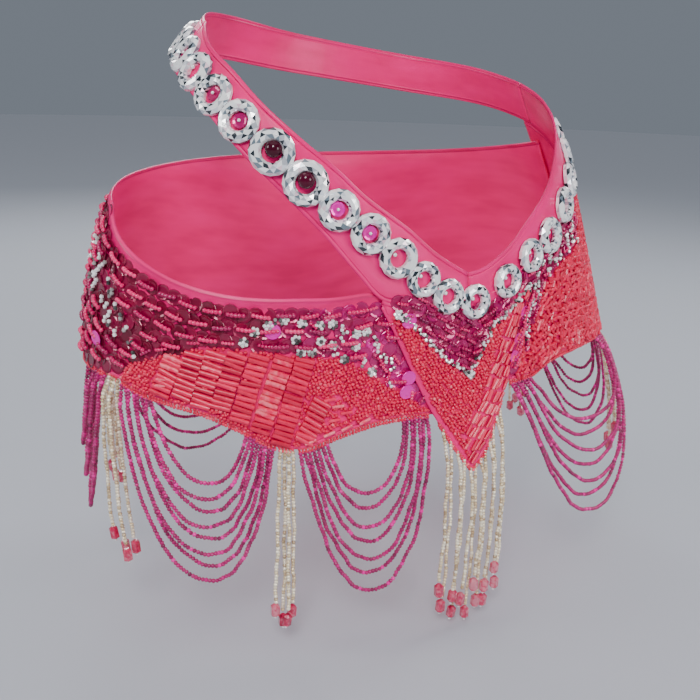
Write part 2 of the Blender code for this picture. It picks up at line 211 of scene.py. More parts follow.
def on_figure(angle, height, offset):
    """Places in metres, for angles in degrees and heights and offsets in millimetres."""
    angle, height, offset = np.broadcast_arrays(angle, height, offset)
    half_width, half_depth, sway = figure_section(height)
    turn = np.radians(angle)
    x = sway + (half_width + offset) * np.sin(turn)
    y = -(half_depth + offset) * np.cos(turn)
    return np.stack((x, y, height), axis=-1) * MM


print("half width at the hips:", float(figure_section(0.0)[0]), "mm")

# %% Axes and lines on the figure
def unit(vectors):
    return vectors / np.linalg.norm(vectors, axis=-1, keepdims=True)


def cloth_axes(angle, height, offset):
    """Unit vectors to the right, up and out of the cloth, at many places."""
    right = on_figure(angle + 0.5, height, offset) - on_figure(angle - 0.5, height, offset)
    rise = on_figure(angle, height + 1.0, offset) - on_figure(angle, height - 1.0, offset)
    right = unit(right)
    out = unit(np.cross(right, rise))
    return right, np.cross(out, right), out


def along(rows, column, angle):
    """A smooth line through one column of a table whose first column is the angle."""
    table = np.array(rows, float)
    stations, values = table[:, 0], table[:, column]
    slopes = np.gradient(values, stations)
    angle = np.asarray(angle, float)
    index = np.clip(np.searchsorted(stations, angle) - 1, 0, len(table) - 2)
    run = stations[index + 1] - stations[index]
    share = np.clip((angle - stations[index]) / run, 0.0, 1.0)
    blend = 3 * share ** 2 - 2 * share ** 3
    rise_out = (share ** 3 - 2 * share ** 2 + share) * run * slopes[index]
    rise_in = (share ** 3 - share ** 2) * run * slopes[index + 1]
    return values[index] * (1 - blend) + values[index + 1] * blend + rise_out + rise_in


def lengths_along(points, unit_length=1.0):
    """How far along a line of points each of them lies."""
    steps = np.linalg.norm(np.diff(points, axis=0), axis=1) / unit_length
    return np.concatenate(([0.0], np.cumsum(steps)))


print("the cloth faces", unit(on_figure(0.0, 0.0, 1.0) - on_figure(0.0, 0.0, 0.0)), "in front")

# %% [markdown]
# ## The cut of the belt
# These short tables are the belt's pattern: the edges of the waist band, of the point in
# front and of the hip panels, as the CAD has them. Each edge is then a function of the
# angle, and cloth, beads and fringe all ask the same functions where they belong.

# %% The waist band and the point
CLOTH = 2.0
HIP_LAYER = 0.8
BAND_LAYER = 3.4
SEAM = 0.5

# angle, upper edge, lower edge
BAND_RIGHT = (
    (-90, 175, 150), (-74, 162, 141), (-58, 149, 126), (-46, 135, 110), (-33, 118, 89),
    (-22, 101, 65), (-16, 89, 47), (-11.5, 81, 33), (-6, 71, 29), (0, 57, 20), (7.5, 43.5, 8),
)
BAND_LEFT = (
    (7.5, 43.5, 8), (11.5, 45.5, 13), (18, 54, 23), (26, 69, 35), (37, 88, 49), (45, 103, 62),
    (58, 121, 81), (74, 136, 104), (90, 146, 120),
)
BAND_BACK = (
    (90, 146, 120), (110, 154, 129), (140, 162, 137), (180, 173, 148), (220, 182, 157),
    (250, 181, 156), (270, 175, 150),
)

# angle, lower edge
POINT_EDGE_RIGHT = (
    (-11.5, 29), (-9.3, 16), (-6.1, -8), (-3.4, -31), (-0.5, -52), (3.7, -75),
)
POINT_EDGE_LEFT = (
    (3.7, -75), (7.2, -64), (9.9, -49), (12.7, -34), (15, -24), (17.5, -13), (19.3, 0),
    (21.5, 13), (24, 24), (27.5, 35),
)
POINT_TIP = 3.7
print("the point is lowest at", min(POINT_EDGE_LEFT, key=lambda row: row[1]))

# %% The hip panels
# angle, upper edge, lower edge
HIP_RIGHT = (
    (-90, 77, -13), (-80, 64, -14), (-70, 54, -16), (-63, 48, -21), (-55, 42, -25),
    (-48, 38, -29), (-40, 35, -38), (-33, 34, -49), (-28, 34, -51), (-21, 34, -44),
    (-13, 36, -38), (-6, 36, -37), (5, 36, -42),
)
HIP_BACK = (
    (88, 108, -20), (105, 103, -17), (130, 97, -17), (155, 94, -24), (180, 93, -34),
    (205, 92, -24), (230, 89, -15), (252, 84, -13), (270, 77, -13),
)

# angle, lower edge
HIP_LEFT = (
    (15.5, -25), (21, -24), (28, -18), (38, -16), (52, -17), (66, -20), (80, -20), (94, -20),
)
HIP_LEFT_MEETS_BAND = 27.5


print("the back panel runs from", HIP_BACK[0][0], "to", HIP_BACK[-1][0], "degrees")

# %% Edges as functions of the angle
def band_edge(angle, column):
    right = along(BAND_RIGHT, column, angle)
    left = along(BAND_LEFT, column, angle)
    behind = along(BAND_BACK, column, angle)
    left_or_behind = np.where(angle <= BAND_BACK[0][0], left, behind)
    return np.where(angle <= BAND_LEFT[0][0], right, left_or_behind)


def band_top(angle):
    return band_edge(angle, 1)


def band_bottom(angle):
    return band_edge(angle, 2)


def point_top(angle):
    return band_bottom(angle) - SEAM


def point_bottom(angle):
    right = along(POINT_EDGE_RIGHT, 1, angle)
    left = along(POINT_EDGE_LEFT, 1, angle)
    return np.where(angle <= POINT_TIP, right, left)


def hip_right_top(angle):
    return along(HIP_RIGHT, 1, angle)


def hip_right_hem(angle):
    return along(HIP_RIGHT, 2, angle)


def hip_left_top(angle):
    seam = along(POINT_EDGE_LEFT, 1, angle) - 3 * SEAM
    return np.where(angle <= HIP_LEFT_MEETS_BAND, seam, band_bottom(angle) - SEAM)


def hip_left_edge(angle):
    return along(HIP_LEFT, 1, angle)


def hip_left_hem(angle):
    return np.minimum(hip_left_edge(angle), hip_left_top(angle) - 2 * SEAM)


def hip_back_top(angle):
    return along(HIP_BACK, 1, angle)


def hip_back_hem(angle):
    """The back's hem, which runs on as the right panel's past the wearer's right side."""
    past_side = angle > HIP_BACK[-1][0]
    return np.where(past_side, hip_right_hem(angle - 360), along(HIP_BACK, 2, angle))


print("point's tip at", float(point_bottom(POINT_TIP)), "mm")

# %% [markdown]
# ## Satin
# Satin is woven so that long threads lie on top, which gives its soft streak of light. A
# fine wave gives the threads, a stretched noise gives the ripples that pull from seam to
# seam, and the distance to the nearest edge, kept on the mesh, paints shade into the pink:
# darker where the hem rolls under and in the sewn trough beside it.

# %% Helpers for every material
def link(material, output, socket):
    material.node_tree.links.new(output, socket)


def new_finish(name, colour, roughness, metallic=0.0):
    material = bpy.data.materials.new(name)
    material.use_nodes = True
    shader = material.node_tree.nodes["Principled BSDF"]
    shader.inputs["Base Color"].default_value = (*colour, 1.0)
    shader.inputs["Roughness"].default_value = roughness
    shader.inputs["Metallic"].default_value = metallic
    return material, material.node_tree.nodes, shader


def add_node(nodes, kind, **settings):
    """A new shader node. A socket's name has _ for its spaces."""
    node = nodes.new("ShaderNode" + kind)
    for socket, value in settings.items():
        node.inputs[socket.replace("_", " ")].default_value = value
    return node


def attribute_node(nodes, name):
    """Reads a number that the mesh carries."""
    node = add_node(nodes, "Attribute")
    node.attribute_name = name
    return node


def ramp_node(nodes, stops, interpolation="LINEAR"):
    """A colour ramp from rows of position and colour."""
    ramp = add_node(nodes, "ValToRGB")
    ramp.color_ramp.interpolation = interpolation
    points = ramp.color_ramp.elements
    while len(points) < len(stops):
        points.new(1.0)
    for point, (place, colour) in zip(points, stops):
        point.position = place
        point.color = (*colour, 1.0)
    return ramp


print("materials so far:", len(bpy.data.materials))

# %% Satin's material
def make_satin():
    material, nodes, shader = new_finish("satin", (0.92, 0.000, 0.185), 0.34)
    shader.inputs["Specular IOR Level"].default_value = 0.30
    shader.inputs["Sheen Weight"].default_value = 0.04
    shader.inputs["Sheen Roughness"].default_value = 0.35
    shader.inputs["Sheen Tint"].default_value = (1.0, 0.55, 0.72, 1.0)
    where = add_node(nodes, "UVMap")
    where.uv_map = "cloth"

    ripple = add_node(nodes, "TexNoise", Scale=55.0, Detail=2.0)
    stretch = add_node(nodes, "Mapping", Scale=(0.45, 1.6, 1.0))
    link(material, where.outputs["UV"], stretch.inputs["Vector"])
    link(material, stretch.outputs["Vector"], ripple.inputs["Vector"])

    threads = add_node(nodes, "TexWave", Scale=850.0, Distortion=0.6)
    threads.bands_direction = "Y"
    link(material, where.outputs["UV"], threads.inputs["Vector"])

    soft = add_node(nodes, "Bump", Strength=0.35, Distance=0.9 * MM)
    link(material, ripple.outputs["Fac"], soft.inputs["Height"])
    fine = add_node(nodes, "Bump", Strength=0.25, Distance=0.06 * MM)
    link(material, threads.outputs["Fac"], fine.inputs["Height"])
    link(material, soft.outputs["Normal"], fine.inputs["Normal"])
    link(material, fine.outputs["Normal"], shader.inputs["Normal"])

    # The ripple noise also sets the pink: deeper in the ripples' hollows and lighter on their
    # crests, painted shade and sheen that follow the bump.
    ripple_shaded_pinks = ramp_node(nodes, (
        (0.32, (0.83, 0.000, 0.155)),
        (0.50, (0.92, 0.000, 0.185)),
        (0.70, (0.98, 0.001, 0.215)),
    ))
    link(material, ripple.outputs["Fac"], ripple_shaded_pinks.inputs["Fac"])

    edge = attribute_node(nodes, "edge")
    # Painted shade by the edge's distance: the pink is darkened where the hem rolls under and in the
    # sewn trough, and left full on the roll's crest.
    sewn = ramp_node(nodes, (
        (0.00, (0.80, 0.80, 0.80)),
        (0.10, (1.00, 1.00, 1.00)),
        (0.17, (0.62, 0.62, 0.62)),
        (0.24, (1.00, 1.00, 1.00)),
    ))
    scale = add_node(nodes, "Math")
    scale.operation = "MULTIPLY"
    scale.inputs[1].default_value = 0.1
    link(material, edge.outputs["Fac"], scale.inputs[0])
    link(material, scale.outputs["Value"], sewn.inputs["Fac"])
    both = add_node(nodes, "Mix")
    both.data_type = "RGBA"
    both.blend_type = "MULTIPLY"
    both.inputs["Factor"].default_value = 1.0
    link(material, ripple_shaded_pinks.outputs["Color"], both.inputs["A"])
    link(material, sewn.outputs["Color"], both.inputs["B"])
    link(material, both.outputs["Result"], shader.inputs["Base Color"])
    return material


satin = make_satin()
print("satin nodes:", len(satin.node_tree.nodes))

# %% [markdown]
# ## Cutting and laying the cloth
# A panel is a grid whose columns follow the angle and whose rows run from the lower edge
# to the upper one. Rows crowd near both edges, where the hem is rolled and sewn, so that
# the roll and its sewn trough have real depth. A Solidify modifier gives the thin wall.

# %% Relief of hems and bindings
SHELL = 1.2
ROLL_ROWS = (0.0, 0.5, 1.0, 1.5, 1.9, 2.4, 3.2)
ROLL_ROOM = 9.0
HEM_ROLL = 0.35


def soft_noise(angle, height, along_size, up_size, seed):
    """Smooth noise between -1 and 1, stretched along the cloth."""
    flat = zip(np.ravel(angle) * 2.6 / along_size, np.ravel(height) / up_size)
    values = [noise.noise(Vector((right, up, seed))) for right, up in flat]
    return np.reshape(values, np.shape(height))


def bump_at(distance, centre, reach):
    """One soft bump round a distance from the edge."""
    share = np.clip(1 - np.abs(distance - centre) / reach, 0, 1)
    return share * share * (3 - 2 * share)


def plain_relief(angles, from_bottom, from_top):
    """A rolled hem on both edges, its sewn trough, and ripples pulled from the seam."""
    edge = np.minimum(from_bottom, from_top)
    ripples = soft_noise(angles, from_bottom, 9.0, 14.0, 3.0) * 0.16
    puckers = np.sin(angles * 2.6) * 0.10 * np.exp(-edge / 2.5)
    return HEM_ROLL * bump_at(edge, 0.9, 0.9) - 0.40 * bump_at(edge, 1.9, 0.6) + ripples + puckers


def bound_relief(angles, from_bottom, from_top):
    """A padded binding along the upper edge, and the plain roll on the lower one."""
    padded = 0.9 * bump_at(from_top, 2.0, 2.2) - 0.25 * bump_at(from_top, 4.5, 0.8)
    hem = 0.3 * bump_at(from_bottom, 0.9, 0.9) - 0.3 * bump_at(from_bottom, 1.9, 0.6)
    puckers = np.sin(angles * 2.2) * 0.08 * np.exp(-from_top / 2.5)
    return padded + hem + puckers


print("a hem's roll stands out by", HEM_ROLL, "mm")

# %% Make one cloth shell
def row_heights(height, middle):
    """Heights of the rows over the lower edge, closest together at both edges."""
    squeeze = np.minimum(1.0, height / ROLL_ROOM)
    low = np.array(ROLL_ROWS)[:, None] * squeeze
    high = height - low[::-1]
    shares = np.arange(1, middle + 1)[:, None] / (middle + 1)
    return np.concatenate((low, low[-1] * (1 - shares) + high[0] * shares, high))


def cloth_shell(name, ends, step, top, bottom, layer, relief, middle, replaced):
    first, last = ends
    columns = max(round((last - first) / step), 2)
    angles = np.linspace(first, last, columns + 1)
    low, high = bottom(angles), top(angles)
    from_bottom = row_heights(high - low, middle)
    from_top = (high - low) - from_bottom
    spread = np.broadcast_to(angles, from_bottom.shape)
    offsets = layer + relief(spread, from_bottom, from_top)
    places = on_figure(spread, low + from_bottom, offsets)
    edge = np.minimum(from_bottom, from_top)

    lengths = lengths_along(on_figure(angles, (low + high) / 2, layer))

    rows = len(from_bottom) - 1
    sheet = bmesh.new()
    bmesh.ops.create_grid(sheet, x_segments=columns, y_segments=rows, size=0.5)
    edge_layer = sheet.verts.layers.float.new("edge")
    map_layer = sheet.loops.layers.uv.new("cloth")
    spot_of = {}
    for vertex in sheet.verts:
        spot = round((vertex.co.y + 0.5) * rows), round((vertex.co.x + 0.5) * columns)
        spot_of[vertex] = spot
        vertex[edge_layer] = edge[spot]
        vertex.co = places[spot]
    for face in sheet.faces:
        face.smooth = True
        for corner in face.loops:
            row, column = spot_of[corner.vert]
            corner[map_layer].uv = (lengths[column], from_bottom[row, column] * MM)
    area = sum(face.calc_area() for face in sheet.faces)
    piece = finished_mesh(name, sheet)
    piece.data.materials.append(satin)
    wall = piece.modifiers.new("cloth thickness", "SOLIDIFY")
    wall.thickness = SHELL * MM
    wall.offset = 1.0
    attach(piece, BODY)
    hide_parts(*replaced)
    width = float(np.max(high - low)) * MM
    print(name, "length %.3f width %.3f area %.5f" % (lengths[-1], width, area))
    return piece


print("rows in each roll:", len(ROLL_ROWS))

# %% Lay the seven pieces of cloth
BAND_OFFSET = BAND_LAYER + 0.35
HIP_OFFSET = HIP_LAYER + 0.3

# name, ends, step of the columns, upper edge, lower edge, layer, relief, rows between the rolls,
# CAD nodes that the cloth stands for
PANELS = (
    ("waist_satin_right", (-90, 7.4), 1.0, band_top, band_bottom, BAND_OFFSET, plain_relief, 10,
     ["waist_band_right"]),
    ("waist_satin_left", (7.6, 90), 1.0, band_top, band_bottom, BAND_OFFSET, plain_relief, 10,
     ["waist_band_left"]),
    ("waist_satin_back", (90.2, 269.8), 1.5, band_top, band_bottom, BAND_OFFSET, plain_relief, 8,
     ["waist_band_back"]),
    ("point_satin", (-11.3, 27.5), 0.5, point_top, point_bottom, BAND_OFFSET, plain_relief, 14,
     ["front_point"]),
    ("hip_satin_left", (15.5, 94), 1.0, hip_left_top, hip_left_hem, BAND_OFFSET, plain_relief, 12,
     ["hip_panel_left"]),
    ("hip_satin_right", (-90, 5), 1.0, hip_right_top, hip_right_hem, HIP_OFFSET, bound_relief, 12,
     ["hip_panel_right", "hip_binding_right"]),
    ("hip_satin_back", (88, 269.8), 1.5, hip_back_top, hip_back_hem, HIP_OFFSET, bound_relief, 12,
     ["hip_panel_back", "hip_binding_back"]),
)
cloths = {row[0]: cloth_shell(*row) for row in PANELS}
print("pieces of cloth:", len(cloths))

# %% [markdown]
# Cloth is cut flat before it is sewn and worn. Each panel states the flat size it was cut
# to, so that anyone who reuses the part knows how much cloth it takes.

# %% [markdown]
# ## Copying small things
# Sequins and seed beads are sewn on by the thousand. Each kind is modelled once with
# bmesh operators, kept as arrays, and copied by numpy to all its places in one joined
# mesh. Every copy also gets a tint between 0 and 1, which its material turns to a colour.

# %% Patterns and where they are sewn
CHANCE_SEED = 11
chance = np.random.default_rng(CHANCE_SEED)


def keep_pattern(sheet):
    """The corners and faces of a small bmesh, as arrays."""
    bmesh.ops.recalc_face_normals(sheet, faces=sheet.faces)
    sheet.verts.index_update()
    corners = np.array([vertex.co[:] for vertex in sheet.verts])
    loops = np.array([vertex.index for face in sheet.faces for vertex in face.verts])
    sizes = np.array([len(face.verts) for face in sheet.faces])
    sheet.free()
    return corners, loops, sizes


def spun_axes(angle, height, offset, turn, tilt=0.0):
    """Axes of things sewn on the cloth: turned on it, and tipped off it."""
    right, up, out = cloth_axes(angle, height, offset)
    turn = np.radians(turn)[..., None]
    tilt = np.radians(np.broadcast_to(tilt, np.shape(angle)))[..., None]
    first = right * np.cos(turn) + up * np.sin(turn)
    second = up * np.cos(turn) - right * np.sin(turn)
    tipped = second * np.cos(tilt) + out * np.sin(tilt)
    return np.stack((first, tipped, np.cross(first, tipped)), axis=1)


def sewn(pattern, spots, offset, tint, size=1.0, tilt=0.0):
    """A batch of copies at rows of angle, height and turn."""
    angle, height, turn = np.array(spots, float).reshape(-1, 3).T
    places = on_figure(angle, height, offset)
    axes = spun_axes(angle, height, offset, turn, tilt)
    axes = axes * np.broadcast_to(size, angle.shape)[:, None, None]
    return pattern, places, axes, np.broadcast_to(tint, angle.shape)


print("chance starts from seed", CHANCE_SEED)

# %% Join the copies in one piece
def joined_piece(name, batches, material, sharp=None, replaced=()):
    """One piece made of every copy in the batches."""
    corner_parts, loop_parts, start_parts, tint_parts = [], [], [], []
    corner_count = loop_count = 0
    for (corners, loops, sizes), places, axes, tints in batches:
        copies = len(places)
        if copies == 0:
            continue
        moved = np.einsum("vk,nkj->nvj", corners, axes) + places[:, None, :]
        corner_parts.append(moved.reshape(-1, 3))
        shift = corner_count + np.arange(copies)[:, None] * len(corners)
        loop_parts.append((loops[None, :] + shift).ravel())
        starts = np.concatenate(([0], np.cumsum(sizes)[:-1]))
        shift = loop_count + np.arange(copies)[:, None] * len(loops)
        start_parts.append((starts[None, :] + shift).ravel())
        tint_parts.append(np.repeat(tints, len(corners)))
        corner_count += copies * len(corners)
        loop_count += copies * len(loops)
    corners = np.concatenate(corner_parts)
    loops = np.concatenate(loop_parts)
    starts = np.concatenate(start_parts)
    mesh = bpy.data.meshes.new(name)
    mesh.vertices.add(len(corners))
    mesh.vertices.foreach_set("co", corners.ravel())
    mesh.loops.add(len(loops))
    mesh.loops.foreach_set("vertex_index", loops)
    mesh.polygons.add(len(starts))
    mesh.polygons.foreach_set("loop_start", starts)
    mesh.update(calc_edges=True)
    tint = mesh.attributes.new("tint", "FLOAT", "POINT")
    tint.data.foreach_set("value", np.concatenate(tint_parts))
    if sharp is None:
        mesh.shade_flat()
    else:
        mesh.shade_smooth()
        mesh.set_sharp_from_angle(angle=math.radians(sharp))
    mesh.materials.append(material)
    piece = bpy.data.objects.new(name, mesh)
    bpy.context.scene.collection.objects.link(piece)
    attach(piece, BODY)
    if replaced:
        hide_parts(*replaced)
    triangles = len(loops) - 2 * len(starts)
    TRIANGLES[name] = triangles
    print(name, "triangles:", triangles)
    return piece


TRIANGLES = {}
print("joined pieces so far:", len(TRIANGLES))

# %% [markdown]
# ## The small things
# A seed bead is a ball a little shorter than it is wide, and a bugle bead is a short rod.
# A sequin is a thin dish. A link is the short string of seeds that holds a sequin down,
# and a rosette is a little ring of silver seeds. None has more than a few dozen faces.

# %% Model each small thing once
def ball(sheet, radius, place=(0, 0, 0), sides=0):
    matrix = Matrix.Translation(Vector(place) * MM)
    if sides:
        bmesh.ops.create_uvsphere(sheet, u_segments=sides, v_segments=4,
                                  radius=radius * MM, matrix=matrix)
    else:
        bmesh.ops.create_icosphere(sheet, subdivisions=1, radius=radius * MM, matrix=matrix)


def rod(sheet, length, radius, sides):
    bmesh.ops.create_cone(sheet, cap_ends=True, segments=sides, radius1=radius * MM,
                          radius2=radius * MM, depth=length * MM)


def lay_along_x(sheet):
    """Turns what stands along Z, so that its thread would run along X."""
    turn = Matrix.Rotation(math.radians(90), 3, "Y")
    bmesh.ops.rotate(sheet, cent=(0, 0, 0), matrix=turn, verts=sheet.verts)


def strung_seed_pattern():
    """The threaded seed: its hole runs along X."""
    sheet = bmesh.new()
    ball(sheet, 1.0, sides=7)
    lay_along_x(sheet)
    bmesh.ops.scale(sheet, vec=(0.86, 1.0, 1.0), verts=sheet.verts)
    return keep_pattern(sheet)


def seed_pattern():
    sheet = bmesh.new()
    ball(sheet, 1.0)
    return keep_pattern(sheet)


def bugle_pattern(length, radius, sides=8):
    sheet = bmesh.new()
    rod(sheet, length, radius, sides)
    lay_along_x(sheet)
    return keep_pattern(sheet)


def sequin_pattern(radius):
    """A thin round dish whose middle is pressed in."""
    sheet = bmesh.new()
    bmesh.ops.create_cone(sheet, cap_ends=True, segments=12, radius1=radius * MM,
                          radius2=0.93 * radius * MM, depth=0.3 * MM)
    top = max(sheet.faces, key=lambda face: face.calc_center_median().z)
    bmesh.ops.inset_individual(sheet, faces=[top], thickness=0.45 * radius * MM,
                               depth=-0.12 * radius * MM)
    return keep_pattern(sheet)


def link_pattern(count, pitch, radius, arch):
    """A short string of seeds along X that arches over the sequins."""
    sheet = bmesh.new()
    for number in range(count):
        share = 2 * number / (count - 1) - 1
        height = arch * (1 - share * share)
        ball(sheet, radius, (share * pitch * (count - 1) / 2, 0, height))
    return keep_pattern(sheet)


def crystal_pattern(radius, length):
    """A six-sided rod with its ends cut back, hole along X."""
    sheet = bmesh.new()
    rod(sheet, length, radius, 6)
    ends = [edge for edge in sheet.edges if abs(edge.verts[0].co.z - edge.verts[1].co.z) < 1e-6]
    bmesh.ops.bevel(sheet, geom=ends, offset=0.45 * radius * MM, segments=1,
                    affect="EDGES", profile=0.5, material=-1)
    lay_along_x(sheet)
    return keep_pattern(sheet)


SEED = seed_pattern()
print("faces of a seed:", len(SEED[2]))

# %% The beads and sequins of this belt
STRUNG_SEED = strung_seed_pattern()
LADDER_LENGTH = 11.0
LADDER_BUGLE = bugle_pattern(LADDER_LENGTH, 1.55)
LONG_BUGLE = bugle_pattern(6.8, 1.0)
SHORT_BUGLE = bugle_pattern(4.6, 0.95, 6)
SEQUIN = sequin_pattern(4.6)
LINK = link_pattern(5, 2.05, 1.5, 0.9)
THIN_LINK = link_pattern(4, 1.8, 1.1, 0.6)
CRYSTAL = crystal_pattern(2.9, 8.6)
print("faces of a threaded seed:", len(STRUNG_SEED[2]), "of a sequin:", len(SEQUIN[2]))

# %% [markdown]
# ## Glass, foil and silver
# The beads are dyed glass or plastic. Their colour comes from the tint of each copy, read
# through a ramp from deep to light: the tint partly varies the dye from bead to bead and
# partly paints highlight and shade, as real beads catch the light unevenly. Clouds of noise
# shift the tint inside a bead, painted light as in clear glass, and a clear coat gives
# the hard glint on top.

# %% A finish for beads
def bead_finish(name, stops, roughness, metallic=0.0, coat=0.6, speck=0.0, cloud=0.0, size=4.0,
                clear=0.0, gloss=0.5):
    """Coloured by tint. A speck roughens it, and clouds of that size in mm stir the tint as painted
    light inside the glass.
    """
    material, nodes, shader = new_finish(name, stops[0][1], roughness, metallic)
    shader.inputs["Coat Weight"].default_value = coat
    shader.inputs["Coat Roughness"].default_value = 0.06
    shader.inputs["Transmission Weight"].default_value = clear
    shader.inputs["Specular IOR Level"].default_value = gloss
    tint = attribute_node(nodes, "tint")
    colours = ramp_node(nodes, stops)
    link(material, colours.outputs["Color"], shader.inputs["Base Color"])
    # Clouds of noise paint lighter and deeper patches inside the bead, as light gathers in clear
    # glass.
    if cloud:
        where = add_node(nodes, "TexCoord")
        mist = add_node(nodes, "TexNoise", Scale=1.0 / (size * MM))
        shift = add_node(nodes, "MapRange", From_Min=0.3, From_Max=0.7, To_Min=-cloud, To_Max=cloud)
        clouded = add_node(nodes, "Math")
        link(material, where.outputs["Object"], mist.inputs["Vector"])
        link(material, mist.outputs["Fac"], shift.inputs["Value"])
        link(material, shift.outputs["Result"], clouded.inputs[0])
        link(material, tint.outputs["Fac"], clouded.inputs[1])
        link(material, clouded.outputs["Value"], colours.inputs["Fac"])
    else:
        link(material, tint.outputs["Fac"], colours.inputs["Fac"])
    if speck:
        grain = add_node(nodes, "TexNoise", Scale=900.0)
        where = add_node(nodes, "TexCoord")
        link(material, where.outputs["Object"], grain.inputs["Vector"])
        uneven = add_node(nodes, "Bump", Strength=speck, Distance=0.3 * MM)
        link(material, grain.outputs["Fac"], uneven.inputs["Height"])
        link(material, uneven.outputs["Normal"], shader.inputs["Normal"])
    return material


print("materials so far:", len(bpy.data.materials))

# %% Finishes of the beads
magenta_glass = bead_finish("magenta glass", (
    (0.0, (0.160, 0.000, 0.050)),
    (0.5, (0.430, 0.000, 0.130)),
    (0.8, (0.620, 0.000, 0.210)),
    (1.0, (0.900, 0.004, 0.360)),
), 0.24, coat=0.25, speck=0.3)
coral_glass = bead_finish("coral glass", (
    (0.0, (0.520, 0.000, 0.036)),
    (0.5, (0.780, 0.000, 0.064)),
    (0.85, (0.930, 0.004, 0.090)),
    (1.0, (1.000, 0.150, 0.210)),
), 0.30, coat=0.2, speck=0.3, cloud=0.14, size=3.0)
link_glass = bead_finish("link glass", (
    (0.0, (0.240, 0.000, 0.070)),
    (0.6, (0.820, 0.000, 0.140)),
    (1.0, (1.000, 0.040, 0.210)),
), 0.20, coat=0.6, speck=0.3)
sequin_film = bead_finish("sequin film", (
    (0.0, (0.160, 0.000, 0.022)),
    (0.35, (0.330, 0.000, 0.058)),
    (0.60, (0.450, 0.000, 0.115)),
    (0.85, (0.600, 0.000, 0.200)),
    (1.0, (1.000, 0.000, 0.500)),
), 0.24, metallic=0.35, coat=0.5)
# Silver lining by tint: near black for painted shade, up to white for a painted highlight.
silver_glass = bead_finish("silver lined glass", (
    (0.0, (0.03, 0.03, 0.03)),
    (0.35, (0.50, 0.48, 0.46)),
    (0.50, (1.00, 0.98, 0.95)),
    (1.0, (1.00, 1.00, 1.00)),
), 0.12, metallic=0.15, coat=1.0)
# Tan to cream by tint: partly the beads' own warm tone, partly painted shade at the low end and
# painted highlight at the top, with painted light clouds inside.
pale_glass = bead_finish("pale strand glass", (
    (0.0, (0.46, 0.32, 0.17)),
    (0.4, (0.78, 0.62, 0.38)),
    (1.0, (1.00, 0.93, 0.74)),
), 0.14, metallic=0.25, coat=1.0, speck=0.4, cloud=0.2, size=1.2)
# Strong clouds paint light and deep patches inside each crystal, and the top of the ramp is a
# painted highlight.
crystal_glass = bead_finish("crystal glass", (
    (0.0, (0.520, 0.000, 0.060)),
    (0.5, (0.880, 0.030, 0.150)),
    (1.0, (1.000, 0.340, 0.440)),
), 0.05, coat=1.0, cloud=0.45, size=2.4, clear=0.5)
wine_glass = bead_finish("wine glass", (
    (0.0, (0.030, 0.000, 0.006)),
    (1.0, (0.090, 0.000, 0.020)),
), 0.10, coat=0.05, gloss=0.3)
print("nodes in the coral glass:", len(coral_glass.node_tree.nodes))

# %% [markdown]
# ## Rings
# The rings are clear acrylic, cut in facets on the face and foiled on the back. The cut
# is made of circles of equal count, each turned half a step from the last: when they are
# bridged and the quads split, the wall falls into triangles, just as a cut stone does.

# %% The cut of a ring
RING_SIDES = 16
RING_SINK = 0.7

# radius, height, half steps of turn
RING_LOOPS = (
    (11.4, 0.0, 0),
    (11.5, 2.0, 0),
    (10.2, 3.9, 1),
    (8.2, 4.6, 0),
    (6.3, 3.9, 1),
    (5.2, 2.2, 0),
    (5.1, 0.0, 0),
)


def ring_pattern():
    sheet = bmesh.new()
    half_step = math.pi / RING_SIDES
    loops = []
    for radius, height, turns in RING_LOOPS:
        matrix = Matrix.Translation((0, 0, height * MM)) @ Matrix.Rotation(turns * half_step, 4, "Z")
        made = bmesh.ops.create_circle(sheet, segments=RING_SIDES, radius=radius * MM,
                                       matrix=matrix)
        edges = {edge for vertex in made["verts"] for edge in vertex.link_edges}
        loops.append(list(edges))
    for number, loop in enumerate(loops):
        follower = loops[(number + 1) % len(loops)]
        bmesh.ops.bridge_loops(sheet, edges=loop + follower)
    bmesh.ops.triangulate(sheet, faces=sheet.faces)
    return keep_pattern(sheet)


print("loops in a ring:", len(RING_LOOPS))

# %% Foil behind the facets
def make_foil():
    """Each facet of a ring gets a grey by chance: painted reflections, near black, grey, white and a
    pink as of the satin, stand in for what the foiled facets mirror.
    """
    material, nodes, shader = new_finish("foiled acrylic", (0.9, 0.9, 0.92), 0.09, 0.2)
    shader.inputs["Coat Weight"].default_value = 1.0
    shader.inputs["Coat Roughness"].default_value = 0.03
    facet = attribute_node(nodes, "facet")
    # Painted reflections: dark, grey, white and pink facets stand in for the room, the lamps and the
    # satin mirrored in the foil.
    reflection_greys = ramp_node(nodes, (
        (0.00, (0.02, 0.03, 0.04)),
        (0.12, (0.16, 0.21, 0.25)),
        (0.23, (0.50, 0.52, 0.57)),
        (0.33, (0.92, 0.66, 0.75)),
        (0.38, (1.00, 1.00, 1.00)),
        (0.88, (0.78, 0.80, 0.86)),
    ), "CONSTANT")
    link(material, facet.outputs["Fac"], reflection_greys.inputs["Fac"])
    link(material, reflection_greys.outputs["Color"], shader.inputs["Base Color"])
    return material


def paint_facets(piece):
    """A number by chance on every face."""
    facet = piece.data.attributes.new("facet", "FLOAT", "FACE")
    facet.data.foreach_set("value", chance.random(len(piece.data.polygons)))


def ring_seat(node):
    """The middle of a ring node, the way it faces and its radius, from its own corners."""
    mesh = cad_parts[node].data
    corners = np.zeros(len(mesh.vertices) * 3)
    mesh.vertices.foreach_get("co", corners)
    corners = np.unique(corners.reshape(-1, 3).round(6), axis=0)
    middle = corners.mean(axis=0)
    out = np.linalg.svd(corners - middle)[2][2]
    outside = middle - np.array((0.0, 0.0, middle[2]))
    out = out * np.sign(out @ outside)
    return middle, out, np.linalg.norm(corners - middle, axis=1).max()


print("rings in the CAD:", sum(name.startswith("ring_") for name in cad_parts))

